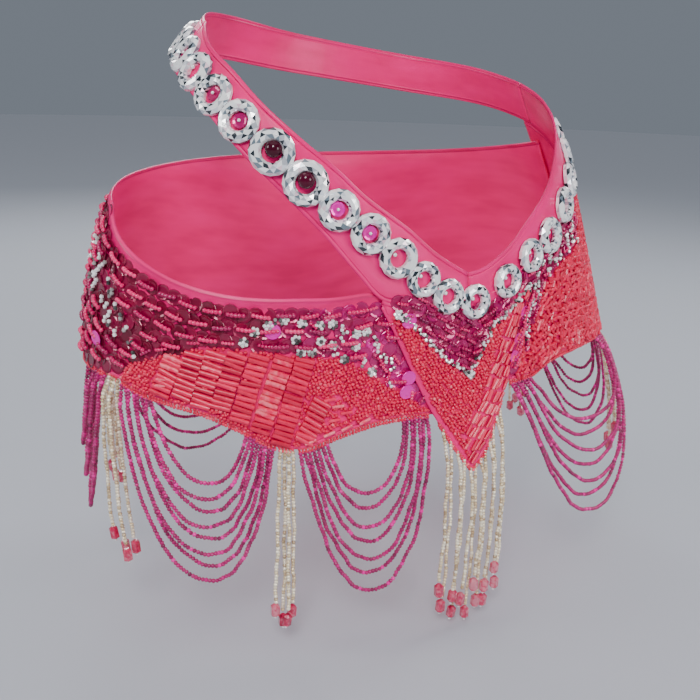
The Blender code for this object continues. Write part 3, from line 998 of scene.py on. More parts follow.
# %% Seat a ring on each CAD ring
RING = ring_pattern()
print("facets of a ring:", len(RING[2]))
RING_HALF = 2.2
RING_PROUD = 1.08
foil = make_foil()
ring_nodes = sorted(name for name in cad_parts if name.startswith("ring_"))
seats = [ring_seat(name) for name in ring_nodes]
ring_middles = np.array([seat[0] for seat in seats])
ring_outs = np.array([seat[1] for seat in seats])
ring_radii = np.array([seat[2] for seat in seats]) * RING_PROUD
ring_bases = ring_middles - ring_outs * (RING_HALF + RING_SINK) * MM
ring_rights = unit(np.cross((0.0, 0.0, 1.0), ring_outs))
ring_ups = np.cross(ring_outs, ring_rights)
spins = chance.uniform(0, 2 * np.pi, len(seats))[:, None]
turned = ring_rights * np.cos(spins) + ring_ups * np.sin(spins)
ring_axes = np.stack((turned, np.cross(ring_outs, turned), ring_outs), axis=1)
ring_sizes = ring_radii / (RING_LOOPS[1][0] * MM)
ring_axes = ring_axes * ring_sizes[:, None, None]
ring_piece = joined_piece("rings", [(RING, ring_bases, ring_axes, np.zeros(len(seats)))],
                          foil, replaced=ring_nodes)
paint_facets(ring_piece)

# %% [markdown]
# ## What sits in and between the rings
# A few rings hold a dark ball in their middle and a few hold a sequin. The others show only
# the clear stitch beads that tie them down. Pink thread joins each ring to the next one.

# %% What each ring holds
# angle of the ring, what it holds, its tint, and how far right and up it sits
RING_MIDDLES = (
    (-61.1, "sequin", 0.55, 0.6, 0.5),
    (-49.6, "sequin", 0.70, 0.6, 0.2),
    (-38.5, "ball", 0.30, 0.9, 1.5),
    (-29.2, "ball", 0.70, 0.2, 1.6),
    (-21.2, "sequin", 1.00, -0.8, 0.6),
    (-14.2, "sequin", 0.95, -0.6, 0.6),
    (-90.0, "sequin", 0.60, 0.0, 0.0),
    (115.0, "sequin", 0.70, 0.0, 0.0),
    (150.0, "sequin", 0.95, 0.0, 0.0),
    (184.0, "ball", 0.40, 0.0, 0.5),
    (218.0, "sequin", 0.70, 0.0, 0.0),
)
print("rings that hold something:", len(RING_MIDDLES))

# %% Helpers for ring middles
def button_pattern(radius):
    """A domed bead, a little flatter than a ball."""
    sheet = bmesh.new()
    bmesh.ops.create_uvsphere(sheet, u_segments=20, v_segments=12, radius=radius * MM)
    bmesh.ops.scale(sheet, vec=(1.0, 1.0, 0.85), verts=sheet.verts)
    return keep_pattern(sheet)


def ring_angle(middle):
    half_width, half_depth, sway = figure_section(middle[2] / MM)
    across, forward = (middle[0] / MM - sway) / half_width, -middle[1] / MM / half_depth
    return math.degrees(math.atan2(across, forward)) % 360


def ring_near(angle):
    gaps = [abs((ring_angle(middle) - angle + 180) % 360 - 180) for middle in ring_middles]
    return int(np.argmin(gaps))


def in_ring(number, right, up, out):
    """A place in millimetres from the middle of one ring's base."""
    ways = np.stack((ring_rights[number], ring_ups[number], ring_outs[number]))
    return ring_bases[number] + np.array((right, up, out)) @ ways * MM


def one_batch(pattern, places, axes, tints, size=1.0):
    return pattern, np.array(places), np.array(axes) * size, np.array(tints, float)


print("the first ring stands at", round(ring_angle(ring_middles[0])), "degrees")

# %% Fill the rings
BUTTON = button_pattern(4.6)
RING_SEQUIN = sequin_pattern(4.1)
TIE = bugle_pattern(3.6, 0.35, 6)
plain_axes = np.stack((ring_rights, ring_ups, ring_outs), axis=1)
holding = {ring_near(row[0]): row for row in RING_MIDDLES}
balls = [(number, *row[2:]) for number, row in holding.items() if row[1] == "ball"]
discs = [(number, *row[2:]) for number, row in holding.items() if row[1] == "sequin"]
bare = [(number, 0.9, -2.6, 2.2) for number in range(len(seats)) if number not in holding]


def in_rings(pattern, rows, out, tint=None, size=1.0):
    """Copies in the middles of rings, from rows of ring number, tint, right and up."""
    places = [in_ring(number, right, up, out) for number, _, right, up in rows]
    tints = [row[1] if tint is None else tint for row in rows]
    return one_batch(pattern, places, [plain_axes[row[0]] for row in rows], tints, size)


joined_piece("ring_balls", [in_rings(BUTTON, balls, 2.4)], wine_glass, sharp=180)
joined_piece("ring_sequins", [in_rings(RING_SEQUIN, discs, 1.6)], sequin_film)
joined_piece("ring_seeds", [in_rings(SEED, discs, 2.6, 0.8), in_rings(SEED, bare, 1.8, size=1.3)],
             silver_glass, sharp=180)
print("rings with a ball:", len(balls), "with a sequin:", len(discs), "bare:", len(bare))

# %% Tie each ring to the next
TIE_HEIGHT = 3.096
tie_places = []
tie_axes = []
for number in range(len(seats) - 1):
    leap = ring_bases[number + 1] - ring_bases[number]
    out = unit(ring_outs[number] + ring_outs[number + 1])
    share = ring_radii[number] / (ring_radii[number] + ring_radii[number + 1])
    forward = unit(leap)
    side = unit(np.cross(out, forward))
    tie_places.append(ring_bases[number] + leap * share + out * TIE_HEIGHT * MM)
    tie_axes.append(np.stack((forward, side, np.cross(forward, side))))
tie_tints = chance.uniform(0.6, 1.0, len(tie_places))
joined_piece("ring_ties", [one_batch(TIE, tie_places, tie_axes, tie_tints)],
             link_glass, sharp=60)

# %% [markdown]
# ## Where the beads go
# Beads are sewn in rows that follow an edge of the cloth. So a row is a line round the
# figure, walked in equal steps, with every second row shifted by half a step. A zone is a
# function that says which places a kind of bead may have, as the sewer's chalk line does.

# %% Rows and zones
MIDDLE_LAYER = 3.0


def mm_per_degree(angle, height):
    ahead = on_figure(angle + 0.5, height, MIDDLE_LAYER)
    behind = on_figure(angle - 0.5, height, MIDDLE_LAYER)
    return np.linalg.norm(ahead - behind, axis=-1) / MM


def evenly_along(line, first, last, pitch, lead):
    """Angles one pitch apart along a line round the figure."""
    angles = np.linspace(first, last, 600)
    lengths = lengths_along(on_figure(angles, line(angles), MIDDLE_LAYER) / MM)
    return np.interp(np.arange(lead * pitch, lengths[-1], pitch), lengths, angles)


def slope_at(line, angle):
    """How steeply a line climbs, in degrees from level."""
    rise = line(angle + 0.4) - line(angle - 0.4)
    return np.degrees(np.arctan2(rise, 0.8 * mm_per_degree(angle, line(angle))))


def rows_under(line, ends, depths, pitch, zone):
    """Spots of angle, height and turn, in rows at the given depths under a line."""
    found = []
    for number, depth in enumerate(depths):
        def row(angle, depth=depth):
            return line(angle) - depth
        angles = evenly_along(row, *ends, pitch, 0.25 + 0.5 * (number % 2))
        found.append(np.stack((angles, row(angles), slope_at(row, angles)), axis=1))
    spots = np.concatenate(found)
    return spots[zone(spots[:, 0], spots[:, 1])]


def moved(spots, forward, sideways=0.0):
    """Spots moved along and across their own way, in millimetres."""
    angle, height, turn = spots.T
    way = np.radians(turn)
    right = forward * np.cos(way) - sideways * np.sin(way)
    up = forward * np.sin(way) + sideways * np.cos(way)
    return np.stack((angle + right / mm_per_degree(angle, height), height + up, turn), axis=1)


def shaken(spots, along_it, turn):
    """Spots moved and turned by chance, as sewing by hand does."""
    count = len(spots)
    spots = moved(spots, chance.uniform(-along_it, along_it, count),
                  chance.uniform(-along_it, along_it, count))
    spots[:, 2] += chance.uniform(-turn, turn, count)
    return spots


print("one degree in front is", round(float(mm_per_degree(0.0, 0.0)), 2), "mm")

# %% Keeping beads apart
def is_clear(spots, others, gap):
    """Whether each spot keeps a gap in millimetres from all the others."""
    here = on_figure(spots[:, 0], spots[:, 1], MIDDLE_LAYER)
    there = on_figure(others[:, 0], others[:, 1], MIDDLE_LAYER)
    away = np.linalg.norm(here[:, None, :] - there[None, :, :], axis=2)
    return away.min(axis=1) > gap * MM


def clear_of(spots, others, gap):
    return spots[is_clear(spots, others, gap)]


def table_spots(rows, turn=0.0):
    """Spots from a table of angle and height."""
    table = np.array(rows, float)
    return np.column_stack((table, np.full(len(table), turn)))


def rod_spots(spots, length):
    """Points along rods, so that other beads can keep clear of them."""
    shares = (-0.45, -0.2, 0.0, 0.2, 0.45)
    return np.concatenate([moved(spots, share * length) for share in shares])


HIP_FACE = HIP_OFFSET + SHELL
BAND_FACE = BAND_OFFSET + SHELL
FIRST_ROW = 8.8
SEQUIN_ROW = 8.5
LINK_PITCH = 13.0
PAIR_GAP = 3.3
SMALL_ROW = 5.8
SMALL_PITCH = 9.0
SMALL_GAP = 2.4
HOLE_ROW = 3.5
HOLE_PITCH = 3.0
HOLE_GAP = 4.2
print("row spacing:", SEQUIN_ROW, "mm, link spacing:", LINK_PITCH, "mm")

# %% [markdown]
# ## Sequins and their links
# Each link of five seeds holds down a pair of sequins, and the pairs lie in rows like
# tiles. The sequins lean a little, so each row's lower rim rests on the row under it.
# Near the wearer's right side they are wine red, and towards the front they turn magenta.

# %% The bead work of one panel
# Heights over the cloth's face, in millimetres
SEQUIN_LIFT = 0.75
FILLING_LIFT = 0.3
LOOSE_SEQUIN_LIFT = 1.0
LINK_LIFT = 2.1
LOOSE_LINK_LIFT = 2.0
PETAL_LIFT = 1.5
PAIR_LIFT = 1.3
SEED_LIFT = 0.8
BUGLE_LIFT = 0.9

# kind, finish, slot, sharpest angle that is smoothed
FIELD_KINDS = (
    ("sequins", sequin_film, "magenta_beads", None),
    ("links", link_glass, "magenta_beads", 180),
    ("silver", silver_glass, "silver_beads", 30),
    ("coral", coral_glass, "magenta_beads", 50),
)


def new_field():
    """The batches of one panel, gathered kind by kind."""
    return {kind[0]: [] for kind in FIELD_KINDS}


def finish_field(name, field):
    for kind, finish, slot_name, sharp in FIELD_KINDS:
        joined_piece(name + "_" + kind, field[kind], finish, sharp)


print("kinds of bead work on a panel:", len(FIELD_KINDS))

# %% Helpers for sequins
SEQUIN_LEAN = 9.0


def sequin_rows(field, spots, face, shade, link, gap, glow=1.0):
    """A pair of sequins at every spot, and the link over them if one is given."""
    count = len(spots)
    taken = np.concatenate((moved(spots, -gap), moved(spots, gap)))
    for forward in (-gap, gap):
        pair = shaken(moved(spots, forward), 0.6, 180)
        lift = face + SEQUIN_LIFT + chance.uniform(-0.1, 0.35, count)
        tints = np.clip(shade(pair[:, 0]) + chance.normal(0, 0.10, count), 0, 0.9)
        lean = -SEQUIN_LEAN + chance.uniform(-5, 5, count)
        field["sequins"].append(sewn(SEQUIN, pair, lift, tints, 1.0, lean))
    if link:
        links = shaken(spots, 0.5, 9.0)
        tints = chance.beta(1.6, 1.6, count) * glow
        field["links"].append(sewn(link, links, face + LINK_LIFT, tints))
    return taken


def sequin_filling(field, spots, taken, face, shade, gap):
    """Single sequins in the holes that the rows leave, a little under the others."""
    spots = shaken(clear_of(spots, taken, gap), 0.8, 180)
    count = len(spots)
    tints = np.clip(shade(spots[:, 0]) + chance.normal(0, 0.13, count), 0, 0.92)
    lift = face + FILLING_LIFT + chance.uniform(0, 0.4, count)
    field["sequins"].append(sewn(SEQUIN, spots, lift, tints, 1.0, chance.uniform(-11, 5, count)))
    return np.concatenate((taken, spots))


def loose_links(field, spots, face, share):
    """Short links at any turn on some of the spots."""
    kept = shaken(spots[chance.random(len(spots)) < share], 1.0, 90)
    tints = chance.beta(1.6, 1.6, len(kept))
    field["links"].append(sewn(THIN_LINK, kept, face + LOOSE_LINK_LIFT, tints))


def loose_sequins(field, spots, face, tints):
    count = len(spots)
    lift = face + LOOSE_SEQUIN_LIFT + chance.uniform(0, 0.5, count)
    field["sequins"].append(sewn(SEQUIN, spots, lift, tints, 1.0, chance.uniform(-12, 12, count)))


print("sequins lean by", SEQUIN_LEAN, "degrees")

# %% Helpers for silver and coral beads
PETALS = 6


def silver_seeds(field, spots, lift, size):
    """Single silver lined seeds with painted light: the tint makes some white as a painted highlight
    and leaves some nearly black as painted shade.
    """
    tints = chance.beta(0.55, 0.42, len(spots))
    field["silver"].append(sewn(SEED, spots, lift, tints, size))


def rosettes(field, rows, face, size=1.2):
    """Rings of six silver seeds round a seventh."""
    spots = shaken(table_spots(rows), 0.3, 180)
    for petal in range(PETALS):
        petals = spots.copy()
        petals[:, 2] += 360 / PETALS * petal
        silver_seeds(field, moved(petals, 2.0), face + PETAL_LIFT, size)
    silver_seeds(field, spots, face + PETAL_LIFT + 0.5, size)


def silver_pairs(field, spots, face, size=1.2):
    spots = shaken(spots, 0.4, 70)
    for forward in (-1.15, 1.15):
        silver_seeds(field, moved(spots, forward), face + PAIR_LIFT, size)


def seeds(field, spots, face, low=0.25, high=0.8):
    """Small coral seeds, of which a few get a painted glint."""
    spots = shaken(spots, 0.55, 180)
    tints = chance.uniform(low, high, len(spots))
    # A few seeds are painted nearly white-pink as glints.
    painted_glints = chance.random(len(spots)) < 0.06
    tints[painted_glints] = chance.uniform(0.85, 1.0, painted_glints.sum())
    sizes = chance.uniform(1.08, 1.32, len(spots))
    field["coral"].append(sewn(SEED, spots, face + SEED_LIFT, tints, sizes))


def bugles(field, pattern, spots, face, tints, shake=0.15, turn=2.5, loose=0.0):
    lift = face + BUGLE_LIFT + chance.uniform(0, loose, len(spots))
    field["coral"].append(sewn(pattern, shaken(spots, shake, turn), lift, tints))


print("seeds of a rosette:", PETALS + 1)

# %% [markdown]
# ## The right hip panel
# Wine sequins fill it above a chalk line. Below the line long coral bugles lie across
# slanting columns, like ladders, with seeds round them. A scroll of silver rosettes runs
# through the front part, and loose silver pairs climb the wearer's side.

# %% Chalk lines of the right hip panel
# angle, upper edge of the coral beads
CORAL_RIGHT = (
    (-90, -60), (-72, -32), (-68, -11), (-63, -4), (-55, 2), (-43, 7), (-39, 6), (-30, 4),
    (-23, 1), (-19, -1), (-14, -10), (-10, -20), (-6, -29), (5, -60),
)

# Ladders of bugles: angle and height of the top, of the foot, share that get a painted flash
LADDERS_RIGHT = (
    (-53.4, 0.0, -56.8, -21.0, 0.20),
    (-48.7, 2.5, -51.9, -24.0, 0.12),
    (-43.9, 4.0, -47.6, -26.5, 0.05),
    (-39.5, 3.5, -43.5, -29.5, 0.00),
    (-35.1, 2.5, -39.6, -35.0, 0.05),
    (-30.2, 2.0, -35.9, -42.0, 0.60),
    (-26.2, 0.5, -32.2, -48.0, 0.08),
    (-23.6, -24.0, -27.8, -47.0, 0.08),
)

print("ladders:", len(LADDERS_RIGHT))

# %% Silver and accents of the right hip panel
# angle, height
ROSETTES_RIGHT = (
    (-38.2, 11), (-36.2, 17), (-33.4, 20), (-30.4, 23), (-26.7, 21), (-23.5, 20), (-20.9, 20),
    (-23.2, 11), (-28.0, 12), (-20.9, 8), (-18.9, 0), (-13.7, -8), (-16.7, 7), (-16.4, 14),
    (-14.5, 15), (-27.0, 5), (-24.9, 5),
)
PAIRS_RIGHT = (
    (-32.1, 22), (-19.1, 18), (-18.7, 15), (-19.1, 11), (-20.5, 3), (-12.6, 11), (-12.6, 7),
    (-12.4, 4), (-11.5, 1), (-11.0, -2), (-15.0, 0), (-15.3, -4), (-9.8, -3), (-9.8, -7),
    (-10.3, -17),
)
PAIRS_SIDE = (
    (-94.8, 57), (-89.6, 56), (-93.1, 53), (-98.5, 48), (-83.8, 49), (-98.0, 43), (-92.0, 47),
    (-86.9, 45), (-80.3, 46), (-82.3, 43), (-84.5, 40), (-85.8, 38), (-89.5, 36), (-76.1, 38),
    (-83.4, 35), (-85.0, 31), (-74.4, 33), (-74.1, 30), (-78.5, 27), (-75.8, 24), (-71.4, 25),
    (-74.0, 20), (-69.1, 20), (-75.6, 17), (-73.6, 15), (-67.3, 14), (-71.0, 10), (-65.3, 7),
    (-64.0, 0),
)
ACCENTS_RIGHT = ((-79.2, 4), (-32.5, 17), (-6.7, -14), (-7.4, -22))
HEM_BUGLES = ((-26.4, -47), (-22.8, -43), (-19.4, -40), (-15.9, -37))
LONE_BUGLES = ((-56.0, -12), (-56.8, -16), (-22.0, -23), (-20.6, -27), (-19.2, -31), (-21.5, -35))
print("rosettes:", len(ROSETTES_RIGHT), "pairs:", len(PAIRS_RIGHT + PAIRS_SIDE))

# %% Zones of the right hip panel
LADDER_PITCH = 3.15
LADDER_SHAKE = (0.4, 5)
SCROLL_FIRST = -40
SCROLL_DROP = 12
SIDE_ZONE = -74
HOLE_HEM_ROOM = 2.8
RIGHT_ENDS = (-89.5, 4.5)


def clear_of_point(angle, height, gap):
    """Not under the front point, which lies over this panel's front end."""
    return (angle < POINT_EDGE_RIGHT[0][0] - 0.5) | (height < point_bottom(angle) - gap)


def coral_right(angle):
    return along(CORAL_RIGHT, 1, angle)


def sequin_zone_right(angle, height):
    low = np.maximum(coral_right(angle) + 3.5, hip_right_hem(angle) + 4.0)
    return (height > low) & clear_of_point(angle, height, 3.0)


def hole_zone_right(angle, height):
    """The sequins' zone, carried down to the hem at the wearer's side."""
    low = np.maximum(coral_right(angle) + 3.5, hip_right_hem(angle) + HOLE_HEM_ROOM)
    return sequin_zone_right(angle, height) | ((angle < SIDE_ZONE) & (height > low))


def coral_zone_right(angle, height):
    high = np.minimum(coral_right(angle), hip_right_top(angle) - 6)
    above_hem = height > hip_right_hem(angle) + 1.6
    return above_hem & (height < high) & clear_of_point(angle, height, 1.0)


def ladder_spots(columns, pitch):
    """Spots down each ladder, each turned square to its column, and their tints."""
    spots, tints = [], []
    for top_angle, top_height, foot_angle, foot_height, painted_flash_share in columns:
        run = (foot_angle - top_angle) * mm_per_degree(top_angle, top_height)
        drop = foot_height - top_height
        length = math.hypot(run, drop)
        shares = np.arange(0, length, pitch) / length
        turn = math.degrees(math.atan2(drop, run)) + 90
        angles = top_angle + shares * (foot_angle - top_angle)
        heights = top_height + shares * drop
        spots.append(np.stack((angles, heights, np.full(len(shares), turn)), axis=1))
        tint = chance.uniform(0.15, 0.8, len(shares))
        # A share of each column's bugles is painted pale as a flash of light.
        painted_flash = chance.random(len(shares)) < painted_flash_share
        tint[painted_flash] = chance.uniform(0.84, 0.95, painted_flash.sum())
        tints.append(tint)
    return np.concatenate(spots), np.concatenate(tints)


def wine_to_magenta(angle):
    return 0.18 + 0.50 * np.clip((angle + 42) / 26, 0, 1)


print("sequins start above", round(float(coral_right(-50.0)), 1), "mm at 50 degrees right")

# %% Sequins and silver of the right hip panel
right = new_field()
silver_spots = table_spots(ROSETTES_RIGHT + PAIRS_RIGHT)
side_spots = table_spots(PAIRS_SIDE, 60)
depths = FIRST_ROW + SEQUIN_ROW * np.arange(9)
spots = rows_under(hip_right_top, RIGHT_ENDS, depths, LINK_PITCH, sequin_zone_right)
under_top = spots[:, 1] < hip_right_top(spots[:, 0]) - SCROLL_DROP
in_scroll = (spots[:, 0] > SCROLL_FIRST) & under_top
plain = spots[~in_scroll]
open_side = is_clear(plain, side_spots, 4.0)
scroll = clear_of(spots[in_scroll], silver_spots, 2.5)
edge_row = clear_of(rows_under(coral_right, (-66, -12), (-3.8,), 9.5, sequin_zone_right),
                    np.concatenate((silver_spots, spots)), 4.0)

# spots, link over each pair, half the gap in the pair
ROWS_RIGHT = (
    (plain[open_side], LINK, PAIR_GAP),
    (plain[~open_side], None, PAIR_GAP),
    (scroll, LINK, PAIR_GAP),
    (edge_row, THIN_LINK, 3.0),
)
taken = np.concatenate([sequin_rows(right, spots, HIP_FACE, wine_to_magenta, link, gap)
                        for spots, link, gap in ROWS_RIGHT])
depths = FIRST_ROW + 5.0 * np.arange(17)
holes = rows_under(hip_right_top, RIGHT_ENDS, depths, HOLE_PITCH, hole_zone_right)
for start, gap in ((0, 5.6), (1, 4.0)):
    taken = sequin_filling(right, holes[start::2], taken, HIP_FACE, wine_to_magenta, gap)
busy = clear_of(holes[holes[:, 0] > -26][::3], silver_spots, 2.2)
loose_links(right, busy, HIP_FACE, 0.45)
rosettes(right, ROSETTES_RIGHT, HIP_FACE + 0.6)
silver_pairs(right, table_spots(PAIRS_RIGHT, 60), HIP_FACE + 0.8)
silver_pairs(right, side_spots, HIP_FACE + 1.4, 1.4)
loose_sequins(right, table_spots(ACCENTS_RIGHT), HIP_FACE + 1.4, 1.0)
print("pairs of sequins:", sum(len(row[0]) for row in ROWS_RIGHT))

# %% Coral beads of the right hip panel
ladders, tints = ladder_spots(LADDERS_RIGHT, LADDER_PITCH)
kept = coral_zone_right(ladders[:, 0], ladders[:, 1] + 1.0)
ladders = ladders[kept]
bugles(right, LADDER_BUGLE, ladders, HIP_FACE + 0.3, tints[kept], *LADDER_SHAKE)
hem_and_lone_bugles = np.concatenate((table_spots(HEM_BUGLES, 22), table_spots(LONE_BUGLES, 4)))
# Painted highlights: the hem bugles and the first lone ones are painted at full brightness as
# flashes.
painted_flash_tints = np.array([1.0] * 6 + [0.8, 0.95, 0.7, 0.8])
bugles(right, LONG_BUGLE, hem_and_lone_bugles, HIP_FACE + 0.8, painted_flash_tints)
depths = -2.0 - 1.85 * np.arange(34)
fill = rows_under(hip_right_hem, (-89, 4.5), depths, 2.05, coral_zone_right)
fill = clear_of(fill, rod_spots(np.concatenate((ladders, hem_and_lone_bugles)), LADDER_LENGTH), 1.7)
seeds(right, fill, HIP_FACE)
print("bugles in ladders:", len(ladders), "seeds:", len(fill))
finish_field("hip_right", right)

# %% [markdown]
# ## The front point
# The point hangs from the V of the waist band. A silver chevron parts magenta sequins
# above from coral beads below. The coral beads are seeds on one side and bugles laid
# along the edge on the other, and the satin edge stays bare on the seeds' side.

# %% Chalk lines of the front point
# angle, height
CHEVRON = (
    (-9.0, 25), (-5.8, 19), (-3.2, 10), (-0.9, 2), (0.8, -4), (2.4, -8), (3.8, -11), (5.8, -15),
    (7.6, -8), (9.3, -2), (10.7, 4), (12.2, 11), (14.5, 14), (17.8, 20), (19.7, 24), (22.8, 29),
    (26.0, 31.5),
)

# The way the bugles lie: angle, height
POINT_GRAIN = (
    (-8.0, -130), (3.7, -75), (7.2, -62), (9.9, -49), (12.7, -35), (15, -24), (17.5, -12),
    (19.3, -1), (21.5, 12), (24, 24), (27.5, 35),
)
BUGLE_BELT = 15.0
EDGE_STEEPNESS = 1.75
CROWD_GLOW = 0.6
RING_COVER = 0.62
POINT_ENDS = (-9.5, 27)

# angle and height of the bugles painted at full brightness as a flash
POINT_FLASHES = (
    (8.7, -36), (7.6, -38), (9.3, -42), (7.3, -44), (6.6, -48), (5.2, -42), (5.8, -56),
    (4.5, -55), (11.9, -22), (11.5, -17), (10.5, -13), (15.3, -4),
)


print("bugles that flash:", len(POINT_FLASHES))

# %% Zones of the front point
def chevron(angle):
    return along(CHEVRON, 1, angle)


def point_grain(angle):
    return along(POINT_GRAIN, 1, angle)


signed = np.array([(ring_angle(middle) + 180) % 360 - 180 for middle in ring_middles])
in_turn = np.argsort(signed)


def under_rings(angle):
    """The height at which sequins come out from under the rings."""
    covered = ring_middles[:, 2] / MM - ring_radii / MM * RING_COVER
    return np.interp(angle, signed[in_turn], covered[in_turn])


def sequin_zone_point(angle, height):
    inside = (angle > CHEVRON[0][0]) & (angle < POINT_ENDS[1])
    below = np.where(angle < -4, point_top(angle) + 1.5, under_rings(angle))
    return inside & (height > chevron(angle) + 2.2) & (height < below)


def coral_zone_point(angle, height):
    bare_edge = np.where(angle < POINT_TIP, 6.5, 3.5)
    return (height < chevron(angle) - 2.2) & (height > point_bottom(angle) + bare_edge)


def bugle_zone_point(angle, height):
    near_edge = height - point_grain(angle) < BUGLE_BELT * EDGE_STEEPNESS
    return coral_zone_point(angle, height) & near_edge & (angle > 3.0)


print("rings over the point:", int(np.sum((signed > -12) & (signed < 28))))

# %% Sequins and silver of the front point
def magenta_mix(angle):
    return np.full(np.shape(angle), 0.52)


def crowd(field, line, ends, rows, hole_rows, zone, keep_clear=None):
    """Close rows of small sequin pairs under a line, and single sequins in their holes."""
    spots = rows_under(line, ends, rows, SMALL_PITCH, zone)
    if keep_clear is not None:
        spots = clear_of(spots, keep_clear, 1.5)
    taken = sequin_rows(field, spots, BAND_FACE, magenta_mix, THIN_LINK, SMALL_GAP, CROWD_GLOW)
    holes = rows_under(line, ends, hole_rows, HOLE_PITCH, zone)
    sequin_filling(field, holes, taken, BAND_FACE, magenta_mix, HOLE_GAP)


point = new_field()
crowd(point, point_top, POINT_ENDS, -18.0 + SMALL_ROW * np.arange(14),
      -20.0 + HOLE_ROW * np.arange(26), sequin_zone_point)
angles = evenly_along(chevron, -9.0, 26.0, 2.5, 0.5)
line = np.stack((angles, chevron(angles), slope_at(chevron, angles)), axis=1)
line = moved(line, 0.0, np.where(np.arange(len(line)) % 2, 0.7, -0.7))
silver_seeds(point, shaken(line, 0.3, 0), BAND_FACE + 1.6, 1.25)
silver_pairs(point, line[::3], BAND_FACE + 0.8, 1.05)
rosettes(point, ((-8.4, 24), (5.8, -16), (-7.2, 22)), BAND_FACE + 0.8)
print("seeds in the chevron:", len(line))

# %% Coral beads of the front point
depths = -4.5 - 4.1 * np.arange(7)
rods = rows_under(point_grain, (-2.0, 26.5), depths, 7.9, bugle_zone_point)
tints = chance.uniform(0.2, 0.8, len(rods))
# A few bugles get a painted glint, and the one nearest each listed flash is painted at full
# brightness.
tints[chance.random(len(rods)) < 0.08] = 0.92
here = on_figure(rods[:, 0], rods[:, 1], BAND_FACE)
for angle, height in POINT_FLASHES:
    away = np.linalg.norm(here - on_figure(angle, height, BAND_FACE), axis=1)
    tints[np.argmin(away)] = 1.0
bugles(point, LONG_BUGLE, rods, BAND_FACE + 0.1, tints, 1.0, 9, 0.6)


def seed_line(angle):
    """The seeds' rows run along the bare edge, carried on past the tip."""
    return np.interp(angle, (-11.5, -3.4, 3.7, 27.5), (29.0, -31.0, -75.0, -222.0))


depths = -6.0 - 4.7 * np.arange(52)
fill = rows_under(seed_line, (-11.0, 27.0), depths, 2.0, coral_zone_point)
fill = clear_of(fill, rod_spots(rods, 7.5), 2.1)
seeds(point, fill, BAND_FACE)
loose_sequins(point, table_spots(((-6.3, 20),)), BAND_FACE + 1.2, 0.97)
print("bugles:", len(rods), "seeds:", len(fill))
finish_field("point", point)

# %% [markdown]
# ## The left hip panel
# Between it and the point runs a column of magenta sequins. Sequins and silver pairs
# crowd the corner under the rings, and the rest is short coral bugles laid every way,
# which gives the rough coral ground of the photograph.

# %% Chalk lines of the left hip panel
# angle, height
SILVER_LEFT = (
    (47.4, 60), (45.8, 56), (42.5, 54), (46.2, 51), (49.5, 49), (42.4, 47), (37.1, 44),
    (35.0, 41), (32.3, 43), (31.4, 36), (29.3, 43), (27.0, 37), (26.8, 31), (23.5, 29),
    (20.2, 23), (26.7, 23), (24.4, 19), (22.9, 14), (21.4, 10), (21.9, 5), (21.2, -1),
)
SEAM_SEQUINS = (
    (22.6, 21), (21.5, 15), (20.4, 10), (19.5, 4), (18.7, -1), (17.9, -6), (17.1, -11),
    (16.4, -17),
)
BRIGHT_BUGLES = ((26.8, 14), (25.2, 5), (25.6, -17.5), (28.0, -16), (30.4, -14.5))
SEAM_TINTS = (0.50, 1.0, 0.55, 0.20, 0.95, 0.70, 1.0, 0.6)
CROWD_ENDS = (20.5, 53)
LEFT_ENDS = (17, 93.5)

# angle, lower edge of the sequins under the rings
CROWD_EDGE = (
    (19.5, -16), (21.7, -2), (24.3, 9), (26.7, 21), (28.4, 29), (31.3, 33), (37.3, 41),
    (47.3, 49), (53.0, 62),
)


print("silver pairs:", len(SILVER_LEFT))

# %% Zones of the left hip panel
def crowd_line(angle):
    return along(CROWD_EDGE, 1, angle)


def sequin_zone_left(angle, height):
    inside = (angle > CROWD_ENDS[0]) & (angle < CROWD_ENDS[1])
    above = height > crowd_line(angle) + 0.5
    off_point = (angle > HIP_LEFT_MEETS_BAND) | (height < hip_left_top(angle) + 2.0)
    return inside & above & off_point & (height < under_rings(angle))


def coral_zone_left(angle, height):
    """Up to the panel's upper edge, or to the sequins where they crowd under the rings."""
    in_crowd = (angle > 20) & (angle < CROWD_ENDS[1])
    high = hip_left_top(angle) - 2.0
    high = np.where(in_crowd, np.minimum(high, crowd_line(angle) - 1.0), high)
    return (height > hip_left_hem(angle) + 2.0) & (height < high)


print("the crowd ends at", round(float(crowd_line(40.0)), 1), "mm at 40 degrees left")

# %% Sequins and silver of the left hip panel
left = new_field()
silver_spots = table_spots(SILVER_LEFT, 60)
crowd(left, crowd_line, CROWD_ENDS, -4.0 - SMALL_ROW * np.arange(8),
      -2.0 - HOLE_ROW * np.arange(14), sequin_zone_left, silver_spots)
seam = shaken(table_spots(SEAM_SEQUINS, 60), 0.4, 20)
left["sequins"].append(sewn(SEQUIN, seam, BAND_FACE + 2.0, SEAM_TINTS, 0.95, 8.0))
left["links"].append(sewn(THIN_LINK, moved(seam, 3.0), BAND_FACE + 3.0, 0.7))
silver_pairs(left, silver_spots, BAND_FACE + 0.6)
silver_pairs(left, moved(silver_spots, 2.2, 1.6), BAND_FACE + 0.6)
print("sequins along the seam:", len(seam))

# %% Coral beads of the left hip panel
bright = table_spots(BRIGHT_BUGLES, 66)
bright[2:, 2] = 30.0
# These bugles are painted at full brightness as flashes.
bugles(left, LONG_BUGLE, bright, BAND_FACE + 0.8, 1.0)
depths = -2.4 - 2.5 * np.arange(58)
rods = rows_under(hip_left_hem, LEFT_ENDS, depths, 3.9, coral_zone_left)
rods = clear_of(rods, silver_spots, 1.8)
tints = chance.uniform(0.1, 0.8, len(rods))
